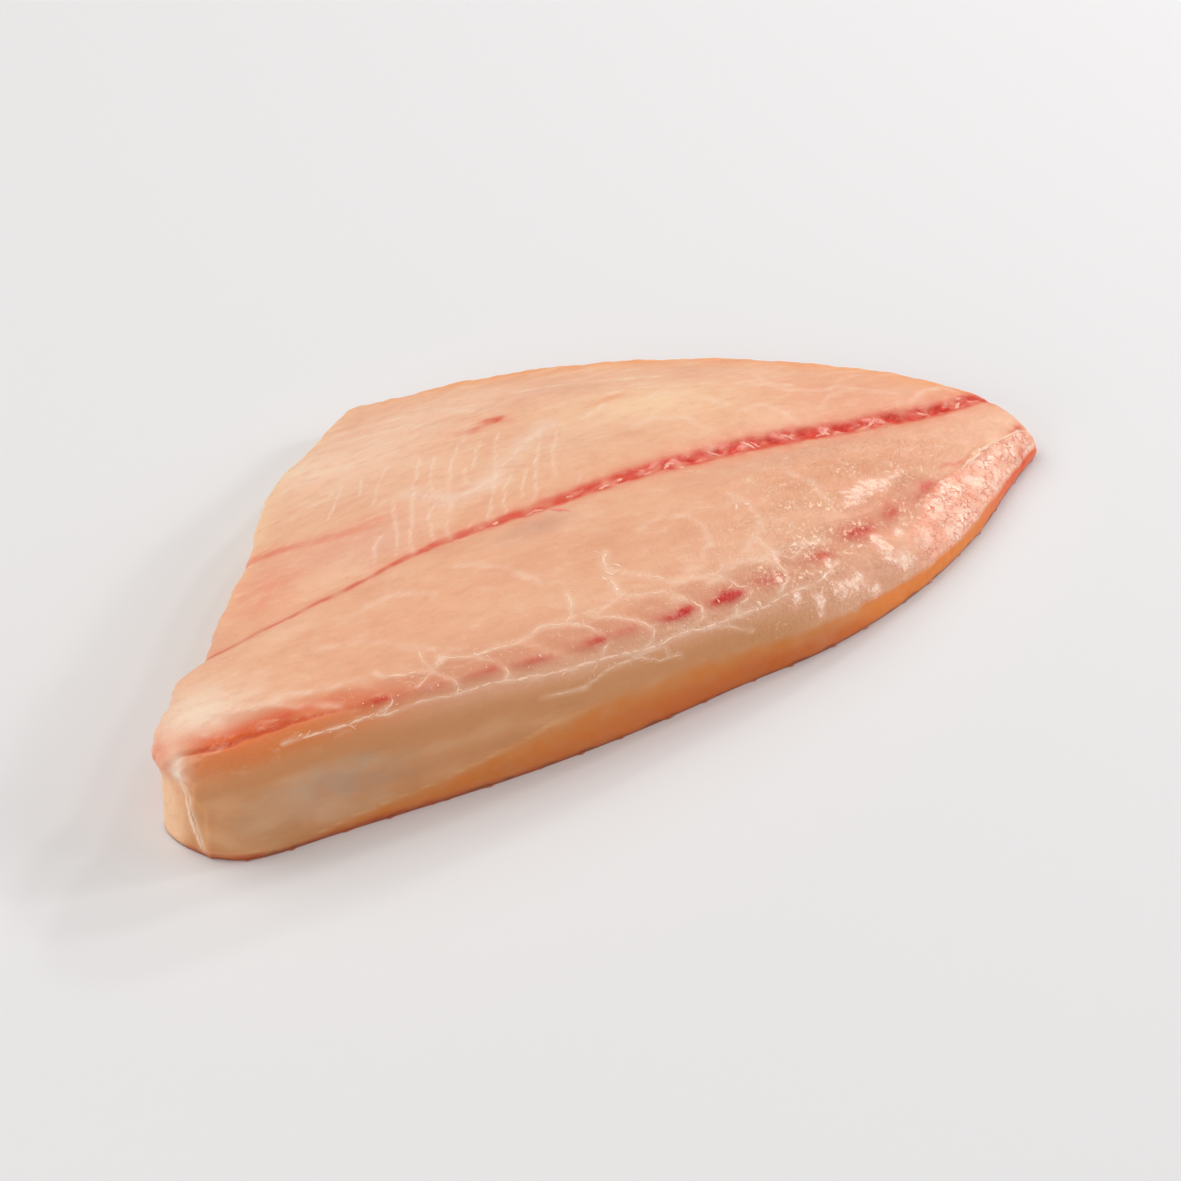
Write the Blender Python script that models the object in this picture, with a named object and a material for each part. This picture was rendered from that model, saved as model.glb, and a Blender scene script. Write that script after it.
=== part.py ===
"""A pompano fillet, skin on, lying skin side down with its cut flesh up.

X runs along the fish from the head end to the tail, Y from the back to the belly,
Z up. The origin is on the table, under the middle of the fillet. The fillet is
one solid: a block of clay in three parameters (along, across, up) that is pressed
into the plan, the thickness and the cut faces of the real piece.
"""

import math

import bmesh
import bpy
import numpy as np
from mathutils import noise

MM = 0.001

# The long curves of the fillet, head to tail, as (x, y, thickness) in millimetres.
# The back edge is where the skin leaves the table. The thick back was cut off square.
BACK_EDGE = [
    (-103.4, -47.4, 21), (-94, -51.9, 24), (-76, -53.6, 25), (-43, -56.6, 23), (-16, -57.2, 19.5),
    (10, -56, 17), (33, -55.2, 13.5), (57, -50, 9), (79, -41, 6), (96, -30.5, 5), (107.5, -24, 5),
]
BLOODLINE = [
    (-89, -19.2, 22.5), (-72, -15.7, 23), (-50, -11.7, 23), (-20, -9.7, 22.5), (20, -9.2, 20.5),
    (60, -9.7, 15), (84, -10.2, 11), (104.5, -11, 8.5),
]
BELLY_EDGE = [
    (-20, 58, 9), (16, 51.2, 10), (50, 38, 10), (81, 19, 9), (97, 4.5, 8), (104, -6.5, 7),
]
# The cut behind the head, back corner to bloodline to belly corner, and the tail cut.
HEAD_CUT_BACK = [
    (-103.4, -47.4, 21), (-106.6, -40.2, 22), (-106.6, -34.3, 22.5), (-100.8, -28, 23),
    (-96, -22.4, 23), (-89, -19.2, 22.5),
]
HEAD_CUT_BELLY = [
    (-89, -19.2, 22.5), (-77, -3.2, 21.5), (-66.5, 8.8, 19.5), (-59.3, 21.6, 17), (-48.5, 34.5, 14.5),
    (-37, 44, 12), (-20, 58, 9),
]
TAIL_CUT_BACK = [(107.5, -24, 6), (106, -17.5, 8), (104.5, -11, 8.5)]
TAIL_CUT_BELLY = [(104.5, -11, 8.5), (104, -6.5, 7)]

# How many cells the block has along, in each half across, and up the walls.
CELLS_ALONG = 92
CELLS_HALF = 16
WALL_LEVELS = (0.0, 0.045, 0.1, 0.3, 0.5, 0.68, 0.84, 1.0)
# Cells shrink towards the edges and the bloodline, to 1 minus this share of the mean.
CROWDING_ALONG = 0.72
CROWDING_ACROSS = 0.8

# Rounding of the top edges: the back is a bevelled shoulder, the cuts are crisper.
# A power of 2 is a quarter round, and 1 would be a straight bevel.
BACK_SHOULDER = 6.5 * MM
BACK_SHOULDER_HEAD = 5.5 * MM
BACK_POWER = 1.5
CUT_POWER = 2.0
SHOULDER_GROWS_OVER = 0.25
BELLY_ROUND = 5.0 * MM
HEAD_ROUND = 2.5 * MM
TAIL_ROUND = 2.0 * MM
# The belly edge curls up off the table, over this width.
BELLY_LIFT = 3.2 * MM
BELLY_LIFT_WIDTH = 11.0 * MM
# Where the fillet is thin, these shares of its thickness cap the rounding and the curl.
MOST_SHOULDER = 0.55
MOST_BELLY_ROUND = 0.5
MOST_DROP = 0.62
MOST_LIFT = 0.4

# The walls: the back wall leans in towards its top and swells at half height, in
# proportion to the thickness there.
FULL_THICKNESS = 25.0 * MM
WALL_LEAN = 1.6 * MM
WALL_SWELL = 0.9 * MM
WALL_REACH = 14.0 * MM
# The skin sticks out under the wall, by up to this much.
SKIN_LIP = 0.7 * MM
# How far each half bulges up between its edges.
CROWN_BACK = 1.2 * MM
CROWN_BELLY = 2.4 * MM

# Below its rim the head cut steps back, so that a soft lobe overhangs at the back corner.
UNDERCUT_LEVELS = (0.0, 0.5, 0.68, 0.84, 1.0)
HEAD_UNDERCUT = (1.3 * MM, 2.0 * MM, 2.4 * MM, 1.5 * MM, 0.0)
HEAD_UNDERCUT_REACH = 12.0 * MM

# Soft flesh is never flat: the size and the height of its gentle hills and edge waves.
HILL_SIZE = 24 * MM
HILL_HEIGHT = 0.45 * MM
EDGE_WAVE = 0.7 * MM
EDGE_WAVE_REACH = 9 * MM

# The groove along the bloodline, from a hairline at the head to a torn trough at the tail.
GROOVE_X = (-95 * MM, -45 * MM, 0.0, 35 * MM, 106 * MM)
GROOVE_DEPTH = (0.15 * MM, 0.45 * MM, 1.0 * MM, 1.7 * MM, 1.5 * MM)
GROOVE_HALF_WIDTH = (0.9 * MM, 1.1 * MM, 1.6 * MM, 2.4 * MM, 2.2 * MM)
TORN_FROM_X = 20 * MM
TORN_PITCH = 9.5 * MM
TORN_SHARE = 0.35

# The row of small dark muscle cones along the back, as low cushions in the flesh.
CONE_PITCH = 11.5 * MM
CONE_FIRST_X = -65 * MM
CONE_COUNT = 13
CONE_LENGTH = 5.0 * MM
CONE_WIDTH = 3.0 * MM
CONE_RISE = 0.7 * MM
# The row follows the back edge, then swings in from it towards the tail.
CONE_ROW_X = (-85 * MM, -60 * MM, 12 * MM, 50 * MM, 72 * MM)
CONE_FROM_EDGE = (4.5 * MM, 6.5 * MM, 8.0 * MM, 12.0 * MM, 12.0 * MM)

# A second seam in the belly half, from the head cut, where two muscle layers part.
SEAM_X = (-69 * MM, -30 * MM)
SEAM_Y = (7 * MM, 3 * MM)
SEAM_DEPTH = 0.6 * MM
SEAM_HALF_WIDTH = 2.2 * MM

# The fold of membrane over the back half near the tail, as a low ridge.
FOLD_X = (72 * MM, 84 * MM, 96 * MM, 105 * MM)
FOLD_Y = (-32.5 * MM, -28.5 * MM, -26 * MM, -22.5 * MM)
FOLD_RISE = (0.0, 0.7 * MM, 0.8 * MM, 0.6 * MM)
FOLD_HALF_WIDTH = 1.9 * MM

FLESH_COLOUR = (0.84, 0.50, 0.32, 1.0)
FLESH_ROUGHNESS = 0.32


def smooth_curve(points):
    """A curve through the points, as a function of the share of its length in plan."""
    knots = np.array(points, float) * MM
    padded = np.vstack([2 * knots[0] - knots[1], knots, 2 * knots[-1] - knots[-2]])
    steps = np.linspace(0, 1, 24, endpoint=False)[:, None]
    dense = [
        0.5 * (2 * b + (c - a) * steps + (2 * a - 5 * b + 4 * c - d) * steps**2
               + (3 * b - a - 3 * c + d) * steps**3)
        for a, b, c, d in zip(padded, padded[1:], padded[2:], padded[3:])
    ]
    dense = np.vstack([*dense, knots[-1:]])
    run = np.cumsum(np.linalg.norm(np.diff(dense[:, :2], axis=0), axis=1))
    run = np.concatenate([[0.0], run]) / run[-1]
    return lambda share: np.array([np.interp(share, run, column) for column in dense.T])


BACK, BLOOD, BELLY = map(smooth_curve, (BACK_EDGE, BLOODLINE, BELLY_EDGE))
HEAD_HALVES = [smooth_curve(HEAD_CUT_BACK), smooth_curve(HEAD_CUT_BELLY)]
TAIL_HALVES = [smooth_curve(TAIL_CUT_BACK), smooth_curve(TAIL_CUT_BELLY)]


def crowded(share, crowding):
    """Moves evenly spaced shares closer together near 0 and near 1."""
    return share - crowding / (2 * math.pi) * math.sin(2 * math.pi * share)


def stretched_between(low, high, head, tail, along, across):
    """The point of the surface that four edge curves span (a Coons patch)."""
    sides = (1 - across) * low(along) + across * high(along)
    ends = (1 - along) * head(across) + along * tail(across)
    corners = (
        (1 - across) * ((1 - along) * low(0) + along * low(1))
        + across * ((1 - along) * high(0) + along * high(1))
    )
    return sides + ends - corners


def sheet_point(along, half, across):
    """(x, y, thickness) on the back half (0) or the belly half (1) of the flesh side."""
    low, high = (BACK, BLOOD) if half == 0 else (BLOOD, BELLY)
    point = stretched_between(low, high, HEAD_HALVES[half], TAIL_HALVES[half], along, across)
    crown = CROWN_BACK if half == 0 else CROWN_BELLY
    point[2] += crown * math.sin(math.pi * across) * math.sin(math.pi * along) ** 0.5
    return point


def rounded_off(distance, radius, power=CUT_POWER):
    """How far a rounded edge has dropped at this distance in from the edge."""
    inside = 1 - min(distance / radius, 1)
    return radius * (1 - (1 - inside**power) ** (1 / power))


def plan_gap(point, other):
    return math.hypot(point[0] - other[0], point[1] - other[1])


def groove_depth(x, from_bloodline):
    """Depth of the bloodline's groove, broken by bridges of flesh near the tail."""
    depth = np.interp(x, GROOVE_X, GROOVE_DEPTH)
    half_width = np.interp(x, GROOVE_X, GROOVE_HALF_WIDTH)
    if x > TORN_FROM_X:
        depth *= 1 - TORN_SHARE * (0.5 + 0.5 * math.cos(2 * math.pi * x / TORN_PITCH))
    return depth * math.exp(-((from_bloodline / half_width) ** 2))


def cone_rise(x, from_back):
    """Height of the nearest cushion of the row of muscle cones along the back."""
    nearest = round((x - CONE_FIRST_X) / CONE_PITCH)
    if not 0 <= nearest < CONE_COUNT:
        return 0.0
    cone_x = CONE_FIRST_X + nearest * CONE_PITCH
    off_x = (x - cone_x) / CONE_LENGTH
    off_y = (from_back - np.interp(cone_x, CONE_ROW_X, CONE_FROM_EDGE)) / CONE_WIDTH
    return CONE_RISE * math.exp(-(off_x**2 + off_y**2))


def seam_depth(x, y):
    """Depth of the short seam in the belly half, which fades away from the head cut."""
    depth = np.interp(x, SEAM_X, (SEAM_DEPTH, 0.0))
    off_y = (y - np.interp(x, SEAM_X, SEAM_Y)) / SEAM_HALF_WIDTH
    return depth * math.exp(-(off_y**2))


def fold_rise(x, y):
    """Height of the ridge where the membrane near the tail is folded over."""
    off_y = (y - np.interp(x, FOLD_X, FOLD_Y)) / FOLD_HALF_WIDTH
    return np.interp(x, FOLD_X, FOLD_RISE) * math.exp(-(off_y**2))


def hills(x, y):
    """Gentle unevenness of the soft flesh side."""
    return HILL_HEIGHT * noise.noise((x / HILL_SIZE, y / HILL_SIZE, 0.0))


def ragged(along, offset):
    """An uneven wave from -1 to 1 for the torn lip of the skin and the knife's cuts."""
    waves = ((7.3, 0.5), (17.9, 0.3), (41.0, 0.2))
    return sum(share * math.sin(2 * math.pi * turns * along + offset * turns) for turns, share in waves)


def flesh_point(along, half, across, up):
    """Where a point of the clay block goes, in metres."""
    point = sheet_point(along, half, across)
    x, y, thickness = point
    from_back = plan_gap(point, BACK(along)) if half == 0 else 1.0
    from_belly = plan_gap(point, BELLY(along)) if half == 1 else 1.0
    from_head = plan_gap(point, HEAD_HALVES[half](across))
    from_tail = plan_gap(point, TAIL_HALVES[half](across))
    from_bloodline = plan_gap(point, BLOOD(along))

    shoulder = np.interp(along, (0, SHOULDER_GROWS_OVER), (BACK_SHOULDER_HEAD, BACK_SHOULDER))
    edges = (
        (from_back, min(shoulder, MOST_SHOULDER * thickness), BACK_POWER),
        (from_belly, min(BELLY_ROUND, MOST_BELLY_ROUND * thickness), CUT_POWER),
        (from_head, HEAD_ROUND, CUT_POWER),
        (from_tail, TAIL_ROUND, CUT_POWER),
    )
    drop = math.sqrt(sum(rounded_off(*edge) ** 2 for edge in edges))
    top = thickness - min(drop, MOST_DROP * thickness)
    top += cone_rise(x, from_back) + fold_rise(x, y) + hills(x, y)
    top -= groove_depth(x, from_bloodline) + seam_depth(x, y)
    lift = BELLY_LIFT / BELLY_LIFT_WIDTH * rounded_off(from_belly, BELLY_LIFT_WIDTH)
    under = min(lift, MOST_LIFT * thickness)

    inward = np.array(sheet_point(along, 0, 1.0) if half == 0 else point)[:2] - point[:2]
    reach = max(0.0, 1 - from_back / WALL_REACH) ** 2
    if reach and np.linalg.norm(inward):
        inward /= np.linalg.norm(inward)
        shift = reach * thickness / FULL_THICKNESS * (WALL_LEAN * up - WALL_SWELL * math.sin(math.pi * up))
        if up < WALL_LEVELS[1]:
            shift -= reach * SKIN_LIP * (0.5 + 0.5 * ragged(along, 0.4))
        x, y = np.array([x, y]) + inward * shift
    under_lobe = max(0.0, 1 - from_head / HEAD_UNDERCUT_REACH) ** 2 * (1 - across if half == 0 else 0)
    x += under_lobe * np.interp(up, UNDERCUT_LEVELS, HEAD_UNDERCUT)
    y += EDGE_WAVE * max(0.0, 1 - from_belly / EDGE_WAVE_REACH) * ragged(along, 1.7)
    x -= up * EDGE_WAVE * max(0.0, 1 - from_head / EDGE_WAVE_REACH) * ragged(0.5 * (half + across), 2.9)
    return x, y, under + (top - under) * up


def clay_block(name):
    """A cube cut into cells, which keeps its (along, across, up) shares as coordinates."""
    mesh = bpy.data.meshes.new(name)
    bm = bmesh.new()
    bmesh.ops.create_cube(bm, size=1.0)
    bmesh.ops.translate(bm, verts=bm.verts, vec=(0.5, 0.5, 0.5))
    cells = (CELLS_ALONG, 2 * CELLS_HALF, len(WALL_LEVELS) - 1)
    for axis, count in enumerate(cells):
        rows = [e for e in bm.edges if abs(e.verts[0].co[axis] - e.verts[1].co[axis]) > 1e-6]
        bmesh.ops.subdivide_edges(bm, edges=rows, cuts=count - 1, use_grid_fill=False)
    bm.to_mesh(mesh)
    bm.free()
    return mesh


def press_into_shape(mesh):
    """Moves every vertex of the block to its place on the fillet."""
    for vertex in mesh.vertices:
        along, across, up = vertex.co
        row = round(across * 2 * CELLS_HALF)
        half = 0 if row <= CELLS_HALF else 1
        share = row / CELLS_HALF - half
        level = WALL_LEVELS[round(up * (len(WALL_LEVELS) - 1))]
        vertex.co = flesh_point(
            crowded(along, CROWDING_ALONG), half, crowded(share, CROWDING_ACROSS), level
        )


def flatten_underside(mesh):
    """Joins the cells that lie on the table into one flat face."""
    bm = bmesh.new()
    bm.from_mesh(mesh)
    resting = [f for f in bm.faces if all(abs(v.co.z) < 1e-7 for v in f.verts)]
    inner = {e for f in resting for e in f.edges if all(g in resting for g in e.link_faces)}
    bmesh.ops.dissolve_edges(bm, edges=list(inner), use_verts=True)
    bmesh.ops.triangulate(bm, faces=bm.faces)
    bm.to_mesh(mesh)
    bm.free()


def centre_on_origin(mesh):
    """Puts the middle of the plan's box over the origin."""
    corners = np.array([v.co for v in mesh.vertices])
    middle = (corners.min(axis=0) + corners.max(axis=0)) / 2
    for vertex in mesh.vertices:
        vertex.co.x -= middle[0]
        vertex.co.y -= middle[1]


def flesh_material():
    material = bpy.data.materials.new("raw_flesh")
    material.use_nodes = True
    shader = material.node_tree.nodes["Principled BSDF"]
    shader.inputs["Base Color"].default_value = FLESH_COLOUR
    shader.inputs["Roughness"].default_value = FLESH_ROUGHNESS
    shader.inputs["Metallic"].default_value = 0.0
    return material


def make_fillet():
    mesh = clay_block("fillet")
    press_into_shape(mesh)
    flatten_underside(mesh)
    centre_on_origin(mesh)
    mesh.materials.append(flesh_material())
    mesh.shade_smooth()
    mesh.set_sharp_from_angle(angle=math.radians(50))
    fillet = bpy.data.objects.new("fillet", mesh)
    collection = bpy.data.collections.new("pompano_fillet")
    bpy.context.scene.collection.children.link(collection)
    collection.objects.link(fillet)
    return fillet


def main():
    for old in list(bpy.data.objects):
        bpy.data.objects.remove(old)
    make_fillet()


main()
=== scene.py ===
import math

import bpy
import numpy as np
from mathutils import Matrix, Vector, kdtree, noise


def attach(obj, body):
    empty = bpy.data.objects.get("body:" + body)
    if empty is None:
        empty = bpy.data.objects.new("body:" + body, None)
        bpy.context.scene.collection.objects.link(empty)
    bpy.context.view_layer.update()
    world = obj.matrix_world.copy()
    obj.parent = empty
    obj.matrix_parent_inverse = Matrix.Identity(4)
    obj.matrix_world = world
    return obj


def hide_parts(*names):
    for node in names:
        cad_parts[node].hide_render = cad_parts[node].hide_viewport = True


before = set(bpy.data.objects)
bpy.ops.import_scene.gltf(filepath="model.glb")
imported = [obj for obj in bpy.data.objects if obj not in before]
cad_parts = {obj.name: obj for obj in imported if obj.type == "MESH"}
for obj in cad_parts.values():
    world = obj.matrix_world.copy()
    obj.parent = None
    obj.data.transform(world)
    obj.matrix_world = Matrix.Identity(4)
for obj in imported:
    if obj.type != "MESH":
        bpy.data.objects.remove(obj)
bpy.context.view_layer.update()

# The flesh: one side of the fish, cut off the bone and trimmed square along the thick back.
# It is firm, wet, half see-through muscle. A fine sheet between three long curves is pressed
# into the plan, the thickness and the cut faces, and keeps the colour of each place with it.
MM = 0.001
BACK_EDGE = [
    (-103.4, -47.4, 21), (-94, -51.9, 24), (-76, -53.6, 25), (-43, -56.6, 23), (-16, -57.2, 19.5),
    (10, -56, 17), (33, -55.2, 13.5), (57, -50, 9), (79, -41, 6), (96, -30.5, 5), (107.5, -24, 5),
]
BLOODLINE = [
    (-89, -19.2, 22.5), (-72, -15.7, 23), (-50, -11.7, 23), (-20, -9.7, 22.5), (20, -9.2, 20.5),
    (60, -9.7, 15), (84, -10.2, 11), (104.5, -11, 8.5),
]
BELLY_EDGE = [
    (-20, 58, 9), (16, 51.2, 10), (50, 38, 10), (81, 19, 9), (97, 4.5, 8), (104, -6.5, 7),
]
HEAD_CUT_BACK = [
    (-103.4, -47.4, 21), (-106.6, -40.2, 22), (-106.6, -34.3, 22.5), (-100.8, -28, 23),
    (-96, -22.4, 23), (-89, -19.2, 22.5),
]
HEAD_CUT_BELLY = [
    (-89, -19.2, 22.5), (-77, -3.2, 21.5), (-66.5, 8.8, 19.5), (-59.3, 21.6, 17), (-48.5, 34.5, 14.5),
    (-37, 44, 12), (-20, 58, 9),
]
TAIL_CUT_BACK = [(107.5, -24, 6), (106, -17.5, 8), (104.5, -11, 8.5)]
TAIL_CUT_BELLY = [(104.5, -11, 8.5), (104, -6.5, 7)]

# The sheet's cells: along the fish, across each half, and up the cut walls.
CELLS_ALONG = 380
CELLS_HALF = 80
CELLS_UP = 26
CROWDING_ALONG = 0.35
CROWDING_ACROSS = 0.5

BACK_SHOULDER = 6.5
BACK_SHOULDER_HEAD = 5.5
BACK_POWER = 1.5
SHOULDER_GROWS_OVER = 0.25
BELLY_ROUND = 5.0
HEAD_ROUND = 2.5
TAIL_ROUND = 2.0
BELLY_LIFT = 3.2
BELLY_LIFT_WIDTH = 11.0
MOST_SHOULDER = 0.55
MOST_BELLY_ROUND = 0.5
MOST_DROP = 0.62
MOST_LIFT = 0.4
FULL_THICKNESS = 25.0
WALL_LEAN = 1.6
WALL_SWELL = 0.9
WALL_REACH = 14.0
CROWN_BACK = 1.2
CROWN_BELLY = 2.4
UNDERCUT_LEVELS = (0.0, 0.5, 0.68, 0.84, 1.0)
HEAD_UNDERCUT = (1.3, 2.0, 2.4, 1.5, 0.0)
HEAD_UNDERCUT_REACH = 12.0
HILL_SIZE = 24
HILL_HEIGHT = 0.45
EDGE_WAVE = 0.7
EDGE_WAVE_REACH = 9
BELLY_WAVE_START = 1.7
HEAD_WAVE_START = 2.9
SKIN_THICKNESS = 0.25


def smooth_curve(points):
    """A curve through the points, as a function of the share of its length in plan."""
    knots = np.array(points, float)
    padded = np.vstack([2 * knots[0] - knots[1], knots, 2 * knots[-1] - knots[-2]])
    steps = np.linspace(0, 1, 24, endpoint=False)[:, None]
    dense = [
        0.5 * (2 * b + (c - a) * steps + (2 * a - 5 * b + 4 * c - d) * steps**2
               + (3 * b - a - 3 * c + d) * steps**3)
        for a, b, c, d in zip(padded, padded[1:], padded[2:], padded[3:])
    ]
    dense = np.vstack([*dense, knots[-1:]])
    run = np.cumsum(np.linalg.norm(np.diff(dense[:, :2], axis=0), axis=1))
    run = np.concatenate([[0.0], run]) / run[-1]
    return lambda share: np.stack([np.interp(share, run, column) for column in dense.T], axis=-1)


BACK, BLOOD, BELLY = map(smooth_curve, (BACK_EDGE, BLOODLINE, BELLY_EDGE))
HEAD_HALVES = [smooth_curve(HEAD_CUT_BACK), smooth_curve(HEAD_CUT_BELLY)]
TAIL_HALVES = [smooth_curve(TAIL_CUT_BACK), smooth_curve(TAIL_CUT_BELLY)]


def crowded(share, crowding):
    """Moves evenly spaced shares closer together near 0 and near 1."""
    return share - crowding / (2 * math.pi) * np.sin(2 * math.pi * share)


def stretched_sheet(half, along, across):
    """(x, y, thickness) over one half of the flesh side, spanned by its four edge curves."""
    low, high = (BACK, BLOOD) if half == 0 else (BLOOD, BELLY)
    head, tail = HEAD_HALVES[half], TAIL_HALVES[half]
    u, v = along[..., None], across[..., None]
    corners = (1 - v) * ((1 - u) * low(0) + u * low(1)) + v * ((1 - u) * high(0) + u * high(1))
    sheet = (1 - v) * low(along) + v * high(along) + (1 - u) * head(across) + u * tail(across) - corners
    crown = CROWN_BACK if half == 0 else CROWN_BELLY
    sheet[..., 2] += crown * np.sin(np.pi * across) * np.sqrt(np.clip(np.sin(np.pi * along), 0, 1))
    return sheet


def rounded_off(distance, radius, power=2.0):
    """How far a rounded edge has dropped at this distance in from the edge."""
    inside = 1 - np.minimum(distance / radius, 1)
    return radius * (1 - (1 - inside**power) ** (1 / power))


def plan_gap(points, others):
    return np.hypot(points[..., 0] - others[..., 0], points[..., 1] - others[..., 1])


def ragged(share, offset):
    """An uneven wave from -1 to 1 for torn and cut edges."""
    waves = ((7.3, 0.5), (17.9, 0.3), (41.0, 0.2))
    return sum(part * np.sin(2 * np.pi * turns * share + offset * turns) for turns, part in waves)


def edge_wave(distance, share, start):
    """How far a cut edge wanders out of line, at this distance in from it."""
    return EDGE_WAVE * np.clip(1 - distance / EDGE_WAVE_REACH, 0, 1) * ragged(share, start)


def grained(places, size, seed=0.0):
    """Smooth noise from about -1 to 1 at these places, with hills of this size in millimetres."""
    scaled = (places / size + seed).reshape(-1, 3).tolist()
    return np.array([noise.noise(place) for place in scaled]).reshape(places.shape[:-1])


def bell(distance, width):
    return np.exp(-((distance / width) ** 2))


def ramp(value, start, end):
    """Rises smoothly from 0 at start to 1 at end."""
    share = np.clip((value - start) / (end - start), 0, 1)
    return share * share * (3 - 2 * share)


steps_along = crowded(np.linspace(0, 1, CELLS_ALONG + 1), CROWDING_ALONG)
steps_half = crowded(np.linspace(0, 1, CELLS_HALF + 1), CROWDING_ACROSS)
sheets = []
for half in (0, 1):
    rows = steps_half if half == 0 else steps_half[1:]
    across, along = np.meshgrid(rows, steps_along, indexing="ij")
    sheet = stretched_sheet(half, along, across)
    sheets.append({
        "half": np.full(along.shape, half), "along": along, "across": across,
        "x": sheet[..., 0], "y": sheet[..., 1], "thick": sheet[..., 2],
        "back": plan_gap(sheet, BACK(along)) if half == 0 else np.full(along.shape, 99.0),
        "belly": plan_gap(sheet, BELLY(along)) if half == 1 else np.full(along.shape, 99.0),
        "head": plan_gap(sheet, HEAD_HALVES[half](across)),
        "tail": plan_gap(sheet, TAIL_HALVES[half](across)),
        "blood": plan_gap(sheet, BLOOD(along)),
        "toward": stretched_sheet(0, along, np.ones_like(across)) - sheet if half == 0 else sheet * 0,
    })
top = {key: np.concatenate([sheets[0][key], sheets[1][key]]) for key in sheets[0]}
ROWS, COLUMNS = top["x"].shape

# Where things lie on the flesh side, in millimetres: x, y, and the way in from the back rim,
# which goes on down the back wall as a negative number.
dense_edge = BACK(np.linspace(0, 1, 600))
dense_blood = BLOOD(np.linspace(0, 1, 600))
BLOOD_SWAY_X = (-90, -83, -67, -52, -42, -30, 0, 30, 40, 55, 65, 75, 85, 92, 101, 106)
BLOOD_SWAY = (0, -1, -2, -2, -0.7, 0, 0.4, 0.9, 1.4, 1, 0, 0.5, 0, 0.4, 1.5, 0)
x, y = top["x"], top["y"]
flat = np.stack([x, y, np.zeros_like(x)], -1)
rim_y = np.interp(x, dense_edge[:, 0], dense_edge[:, 1])
blood_y = np.interp(x, dense_blood[:, 0], dense_blood[:, 1]) + np.interp(x, BLOOD_SWAY_X, BLOOD_SWAY)
shoulder = np.interp(top["along"], (0, SHOULDER_GROWS_OVER), (BACK_SHOULDER_HEAD, BACK_SHOULDER))
shoulder = np.minimum(shoulder, MOST_SHOULDER * top["thick"])
edge_slope = np.interp(x, (0, 40, 105), (1.0, 0.97, 0.88))
back_drop = rounded_off(top["back"], shoulder, BACK_POWER)
inland = (y - rim_y) * edge_slope - back_drop
off_blood = y - blood_y


def gap_to_line(x, y, points):
    """How far each place is from a line of straight runs through the points."""
    nearest = np.full(np.shape(x), 1e6)
    for (x0, y0), (x1, y1) in zip(points, points[1:]):
        dx, dy = x1 - x0, y1 - y0
        share = np.clip(((x - x0) * dx + (y - y0) * dy) / (dx * dx + dy * dy), 0, 1)
        nearest = np.minimum(nearest, np.hypot(x - x0 - share * dx, y - y0 - share * dy))
    return nearest


# The bloodline is a hairline at the head and a torn red channel towards the tail, with darker
# pockets of (x, length) in it.
GROOVE_X = (-95, -45, 0, 20, 35, 106)
GROOVE_DEPTH = (0.05, 0.12, 0.2, 0.3, 0.45, 0.45)
GROOVE_HALF_WIDTH = (0.7, 1.0, 2.1, 2.4, 2.5, 2.3)
POCKETS = [(27, 5), (36.5, 7), (46.5, 7), (56, 6), (66, 7.5), (78.5, 8.5), (90.5, 7.5), (101, 4.5)]
POCKET_DEPTH = 0.3
POCKET_HALF_WIDTH = 1.4
LUMP_RISE = 0.35
wander = 0.6 * grained(flat, 4.5, 3.1) + 0.35 * grained(flat, 1.6, 4.2)
across_blood = off_blood + 0.5 * wander
groove_half = np.interp(x, GROOVE_X, GROOVE_HALF_WIDTH)
in_groove = 1 - ramp(np.abs(across_blood) / groove_half, 0.35, 1.15)
groove = np.interp(x, GROOVE_X, GROOVE_DEPTH) * in_groove
pocket = np.zeros_like(x)
for pocket_x, length in POCKETS:
    reach_x = (x + wander + 0.9 * off_blood - pocket_x) / (0.5 * length)
    reach = np.hypot(reach_x, (across_blood - 0.3) / POCKET_HALF_WIDTH)
    pocket = np.maximum(pocket, 1 - ramp(reach, 0.5, 1.1))
lumps = grained(flat * (0.6, 1.0, 1.0), 1.3, 6.6)
groove += POCKET_DEPTH * pocket * in_groove - LUMP_RISE * in_groove * lumps * ramp(x, -10, 35)

# Low cushions of the dark muscle's cones along the back: (x, way in from the rim, how red).
CONES = [
    (-84, 7.5, 0.3), (-65, 5.0, 0.5), (-55, 5.5, 0.3), (-43.5, 5.6, 0.4), (-33, 5.5, 0.45),
    (-20, 6.2, 0.55), (-13, 6.0, 0.3), (0, 6.2, 0.85), (11.7, 6.6, 1.0), (22.8, 7.9, 0.5), (36.7, 9.4, 0.4),
    (49.4, 11.4, 0.6), (59.2, 11.7, 0.35), (71.6, 11.2, 0.45), (78.5, 6.0, 0.25),
]
CONE_LENGTH = 8.0
CONE_HALF_WIDTH = 4.6
CONE_RISE = 0.3
CONE_TILT = 0.32
SPOT_LENGTH = 3.0
SPOT_HALF_WIDTH = 1.25
warp_x = x + 0.9 * grained(flat, 6, 7.7)
warp_in = inland + 0.8 * grained(flat, 5, 8.8)
cushion = np.zeros_like(inland)
spots = np.zeros_like(inland)
for cone_x, cone_in, redness in CONES:
    off_x, off_in = warp_x - cone_x, warp_in - cone_in
    reach = np.hypot((off_x + 3.4) / CONE_LENGTH, (off_in + CONE_TILT * off_x - 0.6) / CONE_HALF_WIDTH)
    cushion = np.maximum(cushion, np.clip(1 - reach**2, 0, 1))
    tail_side = np.where(off_x < 0, 1.5, 1.0)
    spot_reach = np.hypot(off_x / SPOT_LENGTH / tail_side, (off_in - 0.06 * off_x) / SPOT_HALF_WIDTH)
    spots = np.maximum(spots, redness * (0.85 * np.exp(-spot_reach**2) + 0.3 * bell(spot_reach, 2.2)))

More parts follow.
